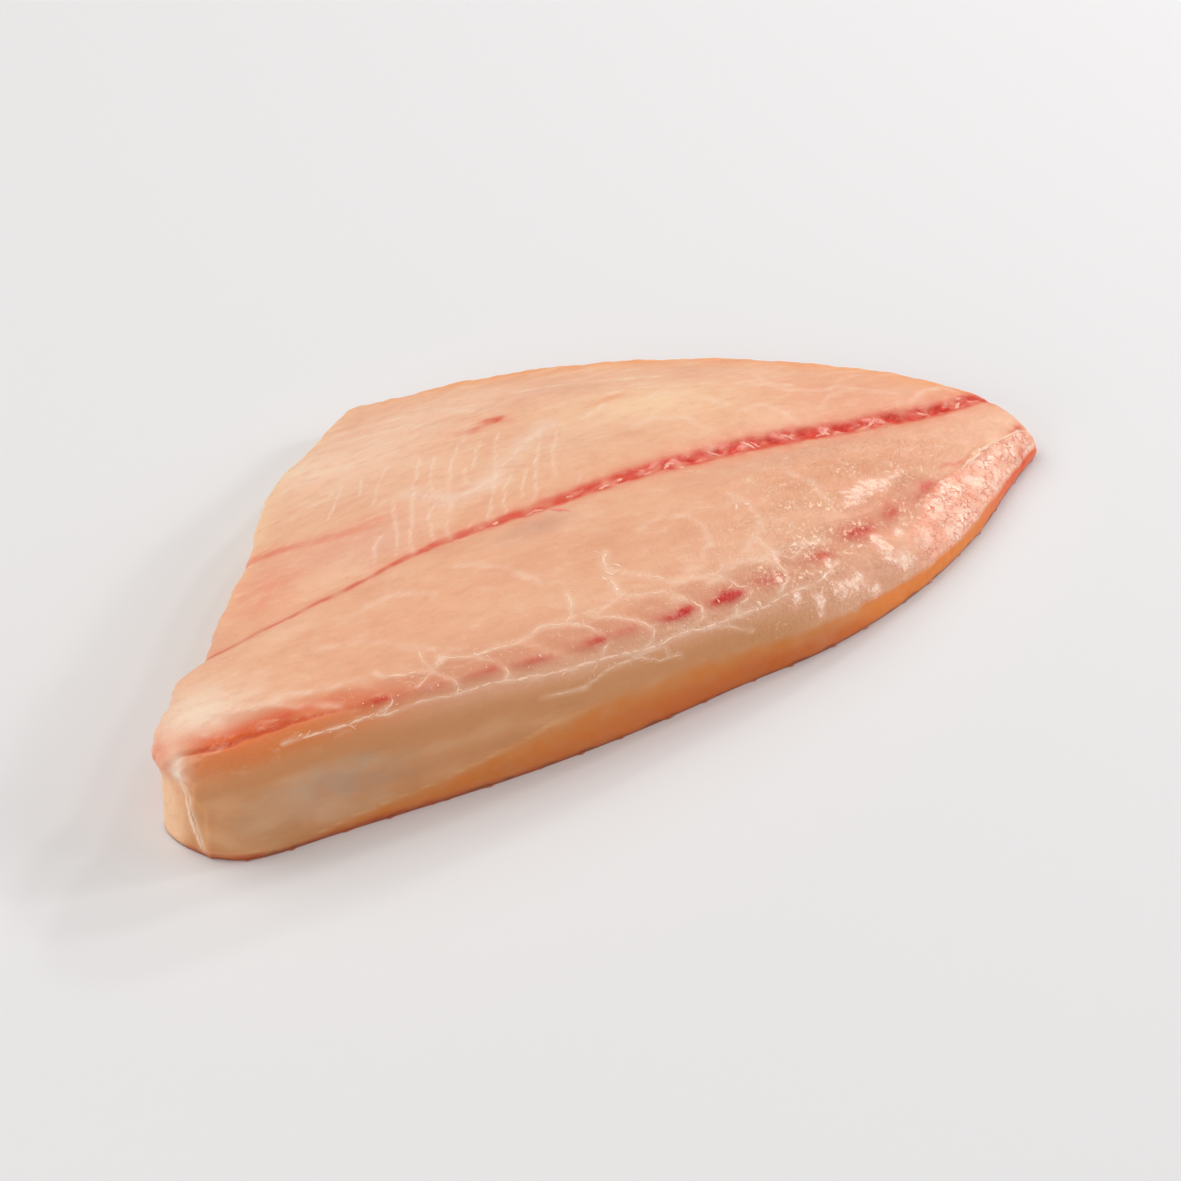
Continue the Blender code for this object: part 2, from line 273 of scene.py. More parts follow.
# The second seam of the belly half, and the folded ridge of membrane near the tail.
SEAM_X = (-69, -30)
SEAM_Y = (7, 3)
SEAM_DEPTH = 0.6
SEAM_HALF_WIDTH = 1.6
FOLD_X = (52, 59, 66, 70, 77, 83, 88, 92.5, 99, 103, 107)
FOLD_Y = (-48, -43.5, -38.5, -34.5, -31, -29, -26.5, -25, -24.4, -22.8, -23.4)
FOLD_RISE = (0.0, 0.0, 0.0, 0.1, 0.3, 0.6, 0.8, 0.9, 0.8, 0.8, 0.6)
FOLD_HALF_WIDTH = 0.9
FOLD_OUTER_WIDTH = 2.5
off_seam = y - np.interp(x, SEAM_X, SEAM_Y) + 0.8 * grained(flat, 7, 1.5)
seam = np.interp(x, SEAM_X, (1.0, 0.0)) * bell(off_seam, SEAM_HALF_WIDTH)
off_fold = y - np.interp(x, FOLD_X, FOLD_Y) + 0.7 * grained(flat, 4, 2.5) + 0.3 * grained(flat, 1.5, 2.9)
fold_width = np.where(off_fold > 0, FOLD_HALF_WIDTH, FOLD_OUTER_WIDTH)
fold = np.interp(x, FOLD_X, FOLD_RISE) * bell(off_fold, fold_width)

# A sharp crease parts the cut wall from the muscle above it at the head end.
CREASE_X = (-108, -103, -80, -66)
CREASE_DEPTH = 0.45
CREASE_IN = ((-104, -98.5, -92.5, -86.5, -77.5, -66), (5.5, 5.5, 6.5, 6, 6, 5))
crease = np.interp(x, CREASE_X, (0.0, 1.0, 0.8, 0.0)) * bell(
    inland - np.interp(x, *CREASE_IN) + 0.4 * grained(flat, 3, 15.0), 0.6)

# Thin wet membrane still covers the back half near the tail. It is finely crumpled, and the
# surface round it is wet.
membrane = 1 - ramp(off_fold, -0.2, 0.8)
membrane *= ramp(x + 0.2 * (y + 35) + 4 * grained(flat, 6, 5.5), 53, 64)
wet = ramp(x + 0.25 * (y + 40) + 6 * grained(flat, 8, 6.5), 24, 46) * (1 - ramp(off_blood, -8, -3))
WRINKLE_SIZE = 2.4
slanted = np.stack([x + 0.6 * y, 1.5 * y, 0 * y], -1)
wrinkles = 1 - 2 * np.abs(grained(slanted, WRINKLE_SIZE, 9.1))
crumple = grained(flat, 1.3, 9.7)

height = top["thick"] - np.minimum(np.sqrt(
    back_drop**2
    + rounded_off(top["belly"], np.minimum(BELLY_ROUND, MOST_BELLY_ROUND * top["thick"])) ** 2
    + rounded_off(top["head"], HEAD_ROUND) ** 2
    + rounded_off(top["tail"], TAIL_ROUND) ** 2
), MOST_DROP * top["thick"])
height += HILL_HEIGHT * grained(flat, HILL_SIZE)
height += CONE_RISE * cushion + fold - groove - SEAM_DEPTH * seam - CREASE_DEPTH * crease
height += 0.14 * grained(flat, 6, 11.0) + 0.06 * grained(flat, 2.1, 12.0) + 0.03 * grained(flat, 1.0, 12.5)
height += (0.1 * membrane + 0.08 * wet) * wrinkles + (0.08 * membrane + 0.08 * wet) * crumple
lift = BELLY_LIFT / BELLY_LIFT_WIDTH * rounded_off(top["belly"], BELLY_LIFT_WIDTH)
under = SKIN_THICKNESS * 0.8 + np.minimum(lift, MOST_LIFT * top["thick"])
WALL_HILL = 0.35
FOOT_TUCK = 0.3
FOOT_HEIGHT = 2.0
SOLID_LIP = 0.9
FAN_SHARE = 0.82


def pressed(up, skin_lip=0.0):
    """Places at this share of the block's height, in millimetres, for the whole sheet."""
    z = under + (height - under) * up
    away = np.hypot(top["toward"][..., 0], top["toward"][..., 1]) + 1e-9
    reach = np.clip(1 - top["back"] / WALL_REACH, 0, 1) ** 2
    shift = top["thick"] / FULL_THICKNESS * (WALL_LEAN * up - WALL_SWELL * math.sin(math.pi * up))
    if up < 1:
        wall_places = np.stack([x, z, 0 * z], -1)
        hills = grained(wall_places, 7, 13.0) + 0.4 * grained(wall_places, 2.2, 14.0)
        shift = shift + WALL_HILL * math.sin(math.pi * up) * hills
        shift = shift + FOOT_TUCK * np.clip(1 - z / FOOT_HEIGHT, 0, 1) ** 2
    shift = reach * (shift - skin_lip) / away
    lobe = np.clip(1 - top["head"] / HEAD_UNDERCUT_REACH, 0, 1) ** 2
    lobe = lobe * np.where(top["half"] == 0, 1 - top["across"], 0)
    moved_x = x + top["toward"][..., 0] * shift + lobe * np.interp(up, UNDERCUT_LEVELS, HEAD_UNDERCUT)
    moved_y = y + top["toward"][..., 1] * shift
    moved_y = moved_y + edge_wave(top["belly"], top["along"], BELLY_WAVE_START)
    head_share = 0.5 * (top["half"] + top["across"])
    moved_x = moved_x - up * edge_wave(top["head"], head_share, HEAD_WAVE_START)
    return np.stack([moved_x, moved_y, z], -1)


# Down the walls the sheet's rim goes on as rings, and the underside is a fan on the skin.
ring = (
    [(0, column) for column in range(COLUMNS)]
    + [(row, COLUMNS - 1) for row in range(1, ROWS)]
    + [(ROWS - 1, column) for column in range(COLUMNS - 2, -1, -1)]
    + [(row, 0) for row in range(ROWS - 2, 0, -1)]
)
ring_rows, ring_columns = np.array(ring).T
top_numbers = np.arange(ROWS * COLUMNS).reshape(ROWS, COLUMNS)
flesh_top = pressed(1.0)
levels_and_lips = ((1, 0), (0.5, 0), (0, SOLID_LIP))
widest = np.concatenate([pressed(level, lip).reshape(-1, 3) for level, lip in levels_and_lips])
plan_middle = np.append((widest.min(0) + widest.max(0))[:2] / 2, 0)
places = [flesh_top.reshape(-1, 3)]
ways_in = [inland.reshape(-1)]
depths = [np.zeros(inland.size)]
numbers_round = [top_numbers[ring_rows, ring_columns]]
made = ROWS * COLUMNS
rim_thick = (height - under)[ring_rows, ring_columns]
for level in np.linspace(1, 0, CELLS_UP + 1)[1:]:
    places.append(pressed(level)[ring_rows, ring_columns])
    depths.append((1 - level) * rim_thick)
    ways_in.append(inland[ring_rows, ring_columns] - depths[-1])
    numbers_round.append(made + np.arange(len(ring)))
    made += len(ring)
inner = (places[-1] - places[-1].mean(0)) * (FAN_SHARE, FAN_SHARE, 1) + places[-1].mean(0)
inner[:, 2] = under.min()
places += [inner, inner.mean(0)[None]]
depths += [depths[-1], depths[-1][:1]]
ways_in += [ways_in[-1], ways_in[-1][:1]]
numbers_round.append(made + np.arange(len(ring)))
hub = made + len(ring)
corners = [top_numbers[:-1, :-1], top_numbers[:-1, 1:], top_numbers[1:, 1:], top_numbers[1:, :-1]]
quads = [np.stack([corner.reshape(-1) for corner in corners], -1)]
for upper, lower in zip(numbers_round, numbers_round[1:]):
    quads.append(np.stack([upper, lower, np.roll(lower, -1), np.roll(upper, -1)], -1))
last = numbers_round[-1]
fan = np.stack([last, np.full(len(ring), hub), np.roll(last, -1)], -1)
places, depths, ways_in = map(np.concatenate, (places, depths, ways_in))


def for_all(values):
    """Values of the top sheet, carried on down the walls below its rim."""
    rim = values[ring_rows, ring_columns]
    return np.concatenate([values.reshape(-1), *[rim] * (CELLS_UP + 1), rim[:1]])


# What shows on the flesh is painted in soft layers, each a tone and how much of it lies at
# every point of the mesh. Places on the flesh side are (x, y), or (x, way in from the rim).
px, py, pz = places.T
on_top = bell(depths, 1.2)
wobble = np.stack([0.8 * grained(places, 3.5, 21.0), 0.7 * grained(places, 3.0, 22.0)], -1)
mottle = grained(places * (0.6, 1.0, 1.0), 9, 23.0)
blotch = grained(places, 3.2, 24.0)
small = grained(places, 1.4, 25.0)
sway = grained(places * (0.4, 1.2, 1.0), 5, 26.0)
wall_grain = grained(places * (0.4, 1.0, 1.0), 4.0, 27.0)


def patch(middle_x, middle_y, half_length, half_width, turn=0):
    """A soft oval patch in plan, 1 at its middle, turned by this many degrees."""
    cos, sin = math.cos(math.radians(turn)), math.sin(math.radians(turn))
    off_x, off_y = px - middle_x + wobble[:, 0], py - middle_y + wobble[:, 1]
    reach = np.hypot((off_x * cos + off_y * sin) / half_length, (off_y * cos - off_x * sin) / half_width)
    return bell(reach, 1)


def top_patch(*shape):
    return on_top * patch(*shape)


def along_line(points, width):
    """A soft line in plan through the points, on the flesh side alone."""
    return on_top * bell(gap_to_line(px + wobble[:, 0], py + wobble[:, 1], points), width)


def web_line(half_width, points):
    """The pale rim round a thread, through points given as (x, way in from the rim)."""
    gap = gap_to_line(px + 0.3 * wobble[:, 0], ways_in + 0.3 * wobble[:, 1], points)
    return bell(gap, 1.8 * half_width + 0.25)


def lengthwise(start, full, fading, end):
    """Rises from 0 to 1 along the fillet, and falls again towards the tail."""
    return ramp(px, start, full) * (1 - ramp(px, fading, end))


def linear(layer_tone):
    """A tone given from 0 to 255 as a screen shows it, as amounts of light."""
    return (np.array(layer_tone) / 255) ** SCREEN_GAMMA


SCREEN_GAMMA = 2.2
BARE_FLESH = (240, 182, 146)

# Lines of white connective tissue: (half width, points as (x, way in from the rim)).
WEB = [
    (0.2, [(-86, 1.5), (-77, 1), (-69.5, 1.5), (-65, 1), (-58.5, 2), (-51.5, 1.5), (-44, 2), (-39, 1.5)]),
    (0.26, [(-39, 1.5), (-33, 1), (-25.5, 1), (-18.5, 1), (-9.5, 0), (-1, 1), (3.5, 0.3), (12.5, 1)]),
    (0.24, [(12.5, 1), (19, 1.5), (24, 3), (30, 3.5), (34, 4.5), (39, 7)]),
    (0.12, [(-35, -5.5), (-25.5, -5), (-19.5, -2), (-13, -1.5), (-8, -4), (-3, -4.5)]),
    (0.16, [(-17.5, 1), (-14.5, 0.5), (-13, -0.8), (-9.5, -0.5), (-6.5, -1), (-6, -3)]),
    (0.14, [(4, 0), (8.5, -0.8), (11.5, -3), (14, -4)]),
    (0.25, [(-63, 13), (-62.5, 12), (-59.5, 11), (-56, 10.5), (-53, 10.5), (-51, 11.5), (-50, 13)]),
    (0.18, [(-52.5, 18), (-53, 15), (-53.5, 13), (-53, 10.5)]),
    (0.22, [(-50, 13), (-46.5, 11.5), (-43.5, 11), (-40, 11.5), (-34.5, 11.5), (-28, 14)]),
    (0.18, [(-43.5, 10.5), (-41.5, 8), (-40, 5.5), (-40, 3.5), (-41, 2)]),
    (0.2, [(-53, 9.5), (-51.5, 7), (-50.5, 5), (-50.5, 3), (-51.5, 1.5)]),
    (0.16, [(-63.5, 5.5), (-63.5, 4), (-64.5, 3), (-67, 2)]),
    (0.14, [(-94.5, 15.5), (-88, 13.5), (-83.5, 14.5), (-76.5, 13)]),
    (0.2, [(-28, 14), (-23, 13), (-19.5, 10.5), (-18.5, 8.5), (-17.5, 5.5), (-18.5, 4), (-20, 2)]),
    (0.2, [(-17, 12), (-13, 10.5), (-10, 8), (-8.5, 6.5), (-7.5, 4), (-8.5, 2), (-10.5, 0.5)]),
    (0.22, [(-9.5, 16.5), (-5.5, 14), (-0.5, 13), (2.5, 9.5), (4.5, 6.5), (4.5, 5), (3.5, 3), (1, 1.5)]),
    (0.24, [(2, 14.5), (7, 14), (11.5, 13), (14, 10.5), (15, 8.5), (17, 7), (15, 4.5), (12, 3.5), (12, 1)]),
    (0.2, [(15, 14.5), (19.5, 14.5), (25, 12.5), (26.5, 8.5), (25, 6), (22.5, 4)]),
    (0.36, [(-5.5, 27.5), (-7.5, 25), (-7.5, 22.5), (-8.5, 20.5), (-9, 16.5)]),
    (0.24, [(-18.5, 20.5), (-19, 18), (-20.5, 15.5), (-22.5, 13.5)]),
    (0.18, [(-6.5, 22), (-3, 19.5), (0, 17.5), (2.5, 15), (5, 13.5)]),
    (0.14, [(15, 14.5), (13, 13.5), (9, 13.5)]),
    (0.16, [(26, 18), (27, 14), (30, 11.5), (34, 13), (39, 14)]),
    (0.13, [(-58, 5.9), (-49, 12.8)]), (0.13, [(-24.5, 13.3), (-19.4, 14.5), (-15.5, 13.4), (-8, 15.9)]),
]
# A broad pale band and soft pale streaks in the belly half, as (x, y).
PALE_BAND = [
    (-31, 7.5), (-28.5, 5.5), (-24.5, 1), (-21.5, 1), (-14, 3), (-9, 6.5), (-4, 10), (-0.5, 12.5), (7, 16.5),
]
STREAKS = [
    [(-42, 35.5), (-36, 40), (-30, 40.5), (-25, 38.5), (-19, 37.5), (-13, 33), (-9.5, 29)],
    [(-12, 45), (-8.5, 42), (-5.5, 36), (-0.5, 30.5)], [(-50, 28), (-42, 29), (-33, 27), (-24, 26)],
    [(-46, 33), (-36, 34), (-24, 32), (-14, 28)], [(-30, 45), (-18, 43), (-6, 38), (6, 32)],
    [(-58, 14), (-48, 17), (-40, 20)], [(10, 36), (24, 33), (40, 26)], [(20, 24), (34, 22), (50, 16)],
]
SECOND_SEAM = [(-69, 7), (-60.7, 5.7), (-53, 3.1), (-44.6, 1.8), (-36, 3.4)]
# Smears of blood: (x, y, half length, half width, turn, strength).
STAINS = [
    (-1.0, 25.6, 2.8, 1.5, -22, 1.2), (-6, 24.3, 6, 1.1, 5, 0.55), (2, 22.5, 3, 0.8, 5, 0.3),
    (71.5, -32, 2.2, 1.6, 20, 0.6), (59.5, -37, 2.0, 1.5, 10, 0.55), (50, -40.5, 2.8, 1.9, 15, 0.9),
    (46, -39, 2.4, 1.3, 10, 0.45), (37, -45, 2.6, 1.6, 15, 0.55), (103, -21.5, 3.0, 1.1, 25, 1.1),
    (101.3, -26.5, 1.3, 1.0, 20, 0.9), (82.5, -27, 3.2, 0.6, 8, 0.65), (79.5, -34.5, 1.6, 1.2, 20, 0.3),
    (96, 2, 7, 1.4, -38, 0.5), (74, 20, 6, 1.0, -24, 0.35), (60, 26, 6, 1.0, -18, 0.25),
]
# Torn patches of pale membrane, painted paler still as a painted reflection of the softboxes, as (x, y, half
# length, half width, turn).
VEILS_AND_SHEEN = [
    (53, -31.5, 3.0, 2.2, 35), (58, -29, 3.4, 2.4, 10), (63, -28.5, 2.6, 1.6, 10),
    (68, -26.5, 2.4, 1.0, 20), (51.5, -42.5, 1.8, 1.8, 0), (52, -46, 2.4, 2.2, 0),
    (57.5, -42, 2.0, 1.4, 20), (56, -47.5, 3.0, 1.6, 15), (36.5, -47, 1.0, 1.8, -20),
    (37, -51.5, 2.2, 1.6, 0), (42, -50.5, 2.6, 1.4, 20), (31, -53, 1.6, 1.6, 0), (25.5, -52, 0.9, 1.6, -20),
    (26.5, -43, 0.8, 2.4, -10), (24, -48, 0.8, 1.4, 0), (46, -52, 2.0, 1.2, 10), (71, -37, 2.8, 2.2, 30),
    (76, -33, 3.0, 1.8, 25), (79, -34.5, 2.6, 1.6, 30), (76, -39.5, 2.6, 1.6, 30), (85, -33, 3.2, 1.6, 30),
    (90.5, -28, 3.4, 1.3, 28), (98, -26, 2.4, 1.3, 25), (102, -23, 2.4, 1.1, 10),
]
# The thick sinew down the corner between the head cut and the back, as (x, y, height).
CORNER_SINEW = [
    (-105, -42.5, 20), (-104.6, -42.6, 16), (-104.2, -43, 11.5), (-103.9, -44.4, 6.5), (-103.4, -46, 1.5),
]

# Thin pale walls between the muscle's flakes, as (x, y).
SEPTA = [
    [(-40, 19), (-43, 15.5), (-46, 12), (-48, 9.5)], [(-35, 20), (-37.5, 16.5), (-39, 13.5)],
    [(-29.5, 21), (-35, 14), (-38, 9)], [(-34.5, 7), (-38, 0), (-39.5, -4), (-42.5, -9.5)],
    [(-42.5, -2.5), (-45, -6), (-47, -9.5)],
    [(-27.5, 1.5), (-29.5, -0.5), (-31.5, -2.5), (-33, -7.5), (-33.5, -9)],
    [(-23.5, 21.5), (-22.5, 19.5), (-24.5, 16), (-26.5, 13), (-30.5, 6.5), (-33.5, 1), (-36, -4), (-39.5, -11)],
    [(-19, 18), (-22, 14), (-24.5, 9.5), (-26.5, 6)], [(-24.5, -7.5), (-25.5, -8.5), (-27, -10)],
    [(-9.5, 23), (-14, 18), (-17.5, 13.5), (-20.5, 8.5), (-23.5, 3.5), (-25, -0.5), (-26.5, -3)],
    [(-29, -5.5), (-30, -9), (-30.5, -10.5)], [(-16.5, 10), (-19, 4.5)],
    [(-8, 18.5), (-10.5, 15.5), (-14.5, 9.5)],
    [(-3, 19.5), (-6, 16), (-8.5, 11.5), (-11.5, 6), (-15, 0.5), (-17.5, -3.5), (-20.5, -8)],
    [(-9, 3), (-12.5, -1), (-15, -4.5), (-17, -8.5)], [(-5.5, 3), (-8, -0.5), (-11, -4.5)],
    [(3.5, 13.5), (0, 8), (-4, 1.5), (-7, -4), (-9.5, -6.5)], [(7, 12.5), (2, 5), (-1.5, -1.5)],
    [(-38.5, 8.5), (-36.5, 7.5), (-34.5, 7)], [(3.5, -4), (2, -5.5)],
    [(7, 16.5), (9.5, 14.5), (13, 14.5), (16.5, 15.5), (21.5, 18.5)], PALE_BAND,
]
SEPTUM_HALF_WIDTH = 0.3
# Long pale arcs of thin tissue over the muscle, as (x, y).
ARCS = [
    [(46, 2), (50, 3.5), (52.5, 3), (54.5, 0), (56.5, -6)], [(59, 17), (59.5, 11.5), (63.5, 8.5)],
    [(47.5, 10.5), (53.5, 13), (58.5, 11), (61.5, 6.5), (67.5, 4.5), (73, 4)],
    [(64, -2), (70, 1.5), (76, 2.5), (79.5, -0.5), (84, -3)], [(85, -7), (91, -3.5), (96, -3), (98, -7)],
    [(4.5, -26), (10.5, -24), (16, -25.5), (17, -30), (15.5, -35), (10.5, -39.5), (4.5, -41)],
    [(28, -22.5), (30.5, -26.5), (29.5, -32), (26.5, -36), (22, -38.5)],
    [(9.5, -44.5), (17, -42), (26, -41.5), (33.5, -40.5), (40.5, -41)],
    [(-95, -37), (-88, -38.5), (-81.5, -40), (-75, -41), (-66.5, -42)],
    [(-96, -35), (-90, -34.5), (-83.5, -36.5), (-78.5, -40.5)], [(-85, -40.5), (-78, -44), (-73, -47)],
    [(22, 6), (28, 8), (34, 5), (37, -1)], [(30, 16), (36, 18), (42, 13), (45, 6)],
    [(-60, -24), (-50, -22), (-42, -26)], [(-34, -20), (-26, -24), (-22, -32)],
    [(44, -20), (48, -25), (47, -31)], [(-70, -30), (-60, -33), (-50, -40)],
]
ARC_HALF_WIDTH = 0.8

# How far up the back wall the ochre fat under the skin reaches, and how deep its colour is.
FAT_X = (-104, -82, -73, -65, -57, -45, -32, -20, -3, 14, 29, 47, 60, 76, 94, 108)
FAT_TOP = (2.0, 2.4, 3.9, 5.3, 6.6, 8.6, 10.3, 11.8, 10.8, 9.4, 7.4, 5.6, 4.8, 4.2, 3.5, 3.2)
FAT_DEPTH = (0.0, 0.1, 0.15, 0.2, 0.25, 0.35, 0.45, 0.6, 0.85, 1.0)
rim_gap = py - np.interp(px, dense_edge[:, 0], dense_edge[:, 1])
on_back = 1 - ramp(rim_gap, 3, 7)
on_wall = on_back * (1 - on_top)
below_rim = 1 - ramp(ways_in, -6, 2)
fat_top = np.interp(px, FAT_X, FAT_TOP) + 0.9 * grained(places * (0.5, 1, 1), 7, 31.0) + 0.5 * blotch
fat_fade = np.interp(px, (0, 40), (2.6, 0.9))
fat = on_back * (1 - ramp((pz - fat_top) / fat_fade, -1.0, 0.45)) * (1 - ramp(ways_in, -1.0, 1.2))
deep_fat = fat * np.interp(px, FAT_X[:len(FAT_DEPTH)], FAT_DEPTH)
deep_fat *= 1 - ramp(pz / fat_top + 0.15 * sway, 0.25, 0.95)
above_fat = 1 - fat
blood_strength = np.interp(px, (-95, -60, -20, 5, 30, 106), (0.5, 0.65, 0.8, 0.95, 1.0, 1.0))
groove_reach = on_top * for_all(in_groove)
pocket_here = groove_reach * for_all(pocket)
blood_gap = for_all(off_blood)
blood_glow = bell(blood_gap, np.interp(px, (-95, 0, 40), (2.0, 2.4, 3.6)))
blood_glow *= on_top * blood_strength * np.interp(px, (-95, -30, 0), (0.3, 0.5, 1.0))
membrane_here = above_fat * for_all(membrane)
veil_and_sheen_here = np.clip(sum(patch(*shape) for shape in VEILS_AND_SHEEN), 0, 1) * above_fat
web_zone = bell(ways_in - 7, 9) * lengthwise(-75, -50, 35, 60)
# Where the tail is glossiest and most finely bumped; glints are painted there as well.
sparkles = 1.2 * patch(46, -36, 38, 16, 22) * (0.75 + 0.9 * sway) + 0.15 * web_zone
wetness = for_all(wet) * bell(depths, 4) * ramp(px, 22, 40) + 0.12 * web_zone
wetness += 0.8 * (groove_reach - pocket_here)
sinew_gap = gap_to_line(py, pz, [point[1:] for point in CORNER_SINEW])
LAYERS = [
    ((226, 158, 126), 0.4 * ramp(mottle, 0.05, 0.7)),
    ((255, 212, 178), 0.35 * ramp(-mottle, 0.05, 0.7)),
    ((255, 210, 180), 0.75 * top_patch(-38, 29, 24, 13, -12)),
    ((255, 206, 176), 0.5 * top_patch(-14, 38, 24, 9, -10)),
    ((234, 180, 158), 0.55 * top_patch(-44, -3, 14, 6, 8)),
    ((240, 146, 118), 0.65 * top_patch(-70, -5, 10, 9, 30) * (0.7 + 0.6 * blotch)),
    ((238, 166, 138), 0.4 * top_patch(-52, -1, 18, 4, 5)),
    ((255, 212, 170), 0.8 * top_patch(36, 13, 26, 9, -10)),
    ((246, 208, 184), 0.65 * along_line(PALE_BAND, 2.6)),
    ((246, 204, 172), 0.35 * top_patch(4, 7, 16, 7, 10)),
    ((232, 168, 132), 0.5 * top_patch(10, -28, 30, 9, 4)),
    ((240, 174, 140), 0.5 * top_patch(-52, -30, 24, 9, 8)),
    *(((255, 226, 200), 0.55 * along_line(points, 0.6) * (0.7 + 0.8 * blotch)) for points in STREAKS),
    ((230, 156, 118), 0.65 * top_patch(58, -24, 30, 9, 4)),
    ((236, 158, 124), 0.6 * top_patch(70, 4, 28, 10, -22)),
    ((210, 152, 130), 0.65 * top_patch(-13, -15.5, 9, 3, 4)),
    ((208, 156, 130), 0.35 * top_patch(48, -14.5, 22, 2.6)),
    ((220, 152, 118), 0.5 * web_zone),
    ((212, 140, 108), 0.5 * bell(depths, 6) * np.clip(for_all(cushion) * 1.8, 0, 1)),
    # The head corner and the head's cut face are paler: partly their own colour, partly painted light falling
    # from the left.
    ((255, 226, 200), 0.9 * top_patch(-97, -35, 9, 8, 20)),
    ((255, 204, 160), 0.85 * ramp(-px, 97, 101) * ramp(depths, 0.5, 3)),
    ((252, 153, 68), 0.85 * bell(for_all(top["belly"]) + 1.2 * blotch, 7) * ramp(px, -25, 5)),
    ((255, 212, 162), 0.6 * bell(for_all(top["head"]) + 0.8 * blotch, 3.5) * ramp(px, -86, -70)),
    ((238, 140, 104), 0.6 * bell(for_all(top["head"]), 6) * top_patch(-78, 2, 9, 5, 40)),
    ((222, 78, 26), lengthwise(-105, -99, -86, -50) * bell(ways_in - 7.0, 4.2) * (0.7 + 0.4 * sway)),
    # Orange below the head seam, deeper in its crease: partly the flesh's colour, partly painted shade where
    # the wall turns away and in the crease.
    ((228, 126, 56), 0.85 * lengthwise(-106, -101, -84, -45) * bell(ways_in - 1.0, 6.5)),
    ((204, 72, 24), lengthwise(-105, -100, -76, -60) * for_all(crease) * bell(depths, 9)),
    ((240, 148, 96), 0.7 * top_patch(24.5, 20.3, 6.0, 1.2, 8) * (0.8 + 0.6 * small)),
    ((234, 118, 92), 0.9 * along_line(SECOND_SEAM, 1.5) * np.interp(px, (-70, -50, -34), (1, 0.6, 0.2))),
    ((211, 144, 89), 0.85 * on_back * below_rim * (1 - ramp(px, 15, 45))),
    ((212, 178, 150), 0.8 * on_wall * bell(px + 80, 11) * bell(pz - 13, 5.5) * (0.8 + 0.5 * blotch)),
    ((194, 158, 132), 0.5 * on_wall * bell(px + 74, 13) * bell(pz - 12, 7) * (0.6 + blotch)),
    ((222, 180, 140), 0.5 * on_wall * bell(px + 94, 6) * bell(pz - 9, 4)),
    ((190, 140, 84), 0.45 * on_wall * bell(px + 84, 14) * bell(pz - 4.5, 3) * (0.7 + sway)),
    ((236, 190, 152), 0.22 * on_wall * ramp(wall_grain, 0.05, 0.5)),
    ((182, 120, 78), 0.22 * on_wall * ramp(-wall_grain, 0.05, 0.5)),
    *(((255, 224, 202), 0.62 * along_line(points, SEPTUM_HALF_WIDTH) * (0.8 + 0.8 * small))
      for points in SEPTA),
    *(((254, 218, 192), 0.45 * along_line(points, ARC_HALF_WIDTH) * (0.8 + 0.8 * blotch))
      for points in ARCS),
    ((221, 130, 52), 0.9 * fat * (0.85 + 0.3 * blotch)),
    ((232, 182, 130), 0.6 * on_back * bell(pz - fat_top + 0.4, 0.35)
     * (1 - ramp(px, -40, -10)) * (0.7 + blotch)),
    ((210, 96, 26), 0.95 * deep_fat * (0.85 + 0.4 * sway)),
    ((246, 140, 56), 0.9 * fat * ramp(px, 30, 52)),
    ((242, 98, 60), 0.85 * fat * ramp(px, 74, 98)),
    ((255, 184, 156), 0.9 * membrane_here),
    ((240, 140, 108), 0.5 * top_patch(58, -39, 18, 7, 20) * (0.7 + 0.7 * blotch)),
    *(((252, 212, 184), 0.62 * web_line(*line) * (0.8 + 0.8 * blotch)) for line in WEB),
    ((198, 26, 0), 1.9 * bell(depths, 3) * for_all(spots) ** 1.35 * (0.85 + 0.4 * small)),
    *(((220, 62, 34), strength * top_patch(*shape) * (0.8 + 0.5 * small)) for *shape, strength in STAINS),
    ((230, 108, 80), blood_glow * (0.75 + 0.5 * blotch)),
    ((220, 70, 52), blood_strength * groove_reach * np.clip(0.85 + 0.9 * blotch, 0, 1)),
    # Pale torn tissue on the channel's raised lumps, and a painted highlight on their tops.
    ((248, 156, 136), 0.8 * groove_reach * ramp(px, -25, 20) * ramp(for_all(lumps), 0.1, 0.55)),
    # Deep red in the channel's pockets, darkened further as painted shade in the pits.
    ((158, 26, 18), 0.8 * pocket_here * np.clip(0.75 + 0.9 * small, 0, 1)),
    ((255, 222, 190), 0.85 * ramp(-px, 100, 102) * bell(sinew_gap, 0.7) * (0.9 + 0.5 * small)),
    ((232, 120, 98), 0.55 * bell(depths, 4) * patch(-107, -37.5, 3, 4)),
    # A painted highlight on the tip of the head corner.
    ((255, 240, 224), 0.7 * top_patch(-105, -42.5, 1.6, 1.2, 30)),
    ((192, 84, 52), 0.75 * on_back * bell(pz - 1.0, 0.7) * (1 - ramp(px, -60, 0)) * (0.8 + blotch)),
    ((140, 70, 42), 0.7 * (1 - ramp(pz + 1.2 * blotch - 0.3, 0, 0.5))),
]
base_colour = np.tile(linear(BARE_FLESH), (len(places), 1))
for layer_tone, amount in LAYERS:
    share = np.clip(amount, 0, 1)[:, None]
    base_colour = base_colour * (1 - share) + linear(layer_tone) * share
paint = {
    "base colour": base_colour,
    "veil_and_sheen": veil_and_sheen_here,
    "sparkle": np.clip(sparkles, 0, 1) * above_fat,
    "membrane": membrane_here,
    "wet": np.clip(wetness, 0, 1),
    "pocket": pocket_here,
    "belly side": on_top * ramp(blood_gap, 4, 18),
    "wall": on_back * (1 - ramp(ways_in, -4, 1)),
}


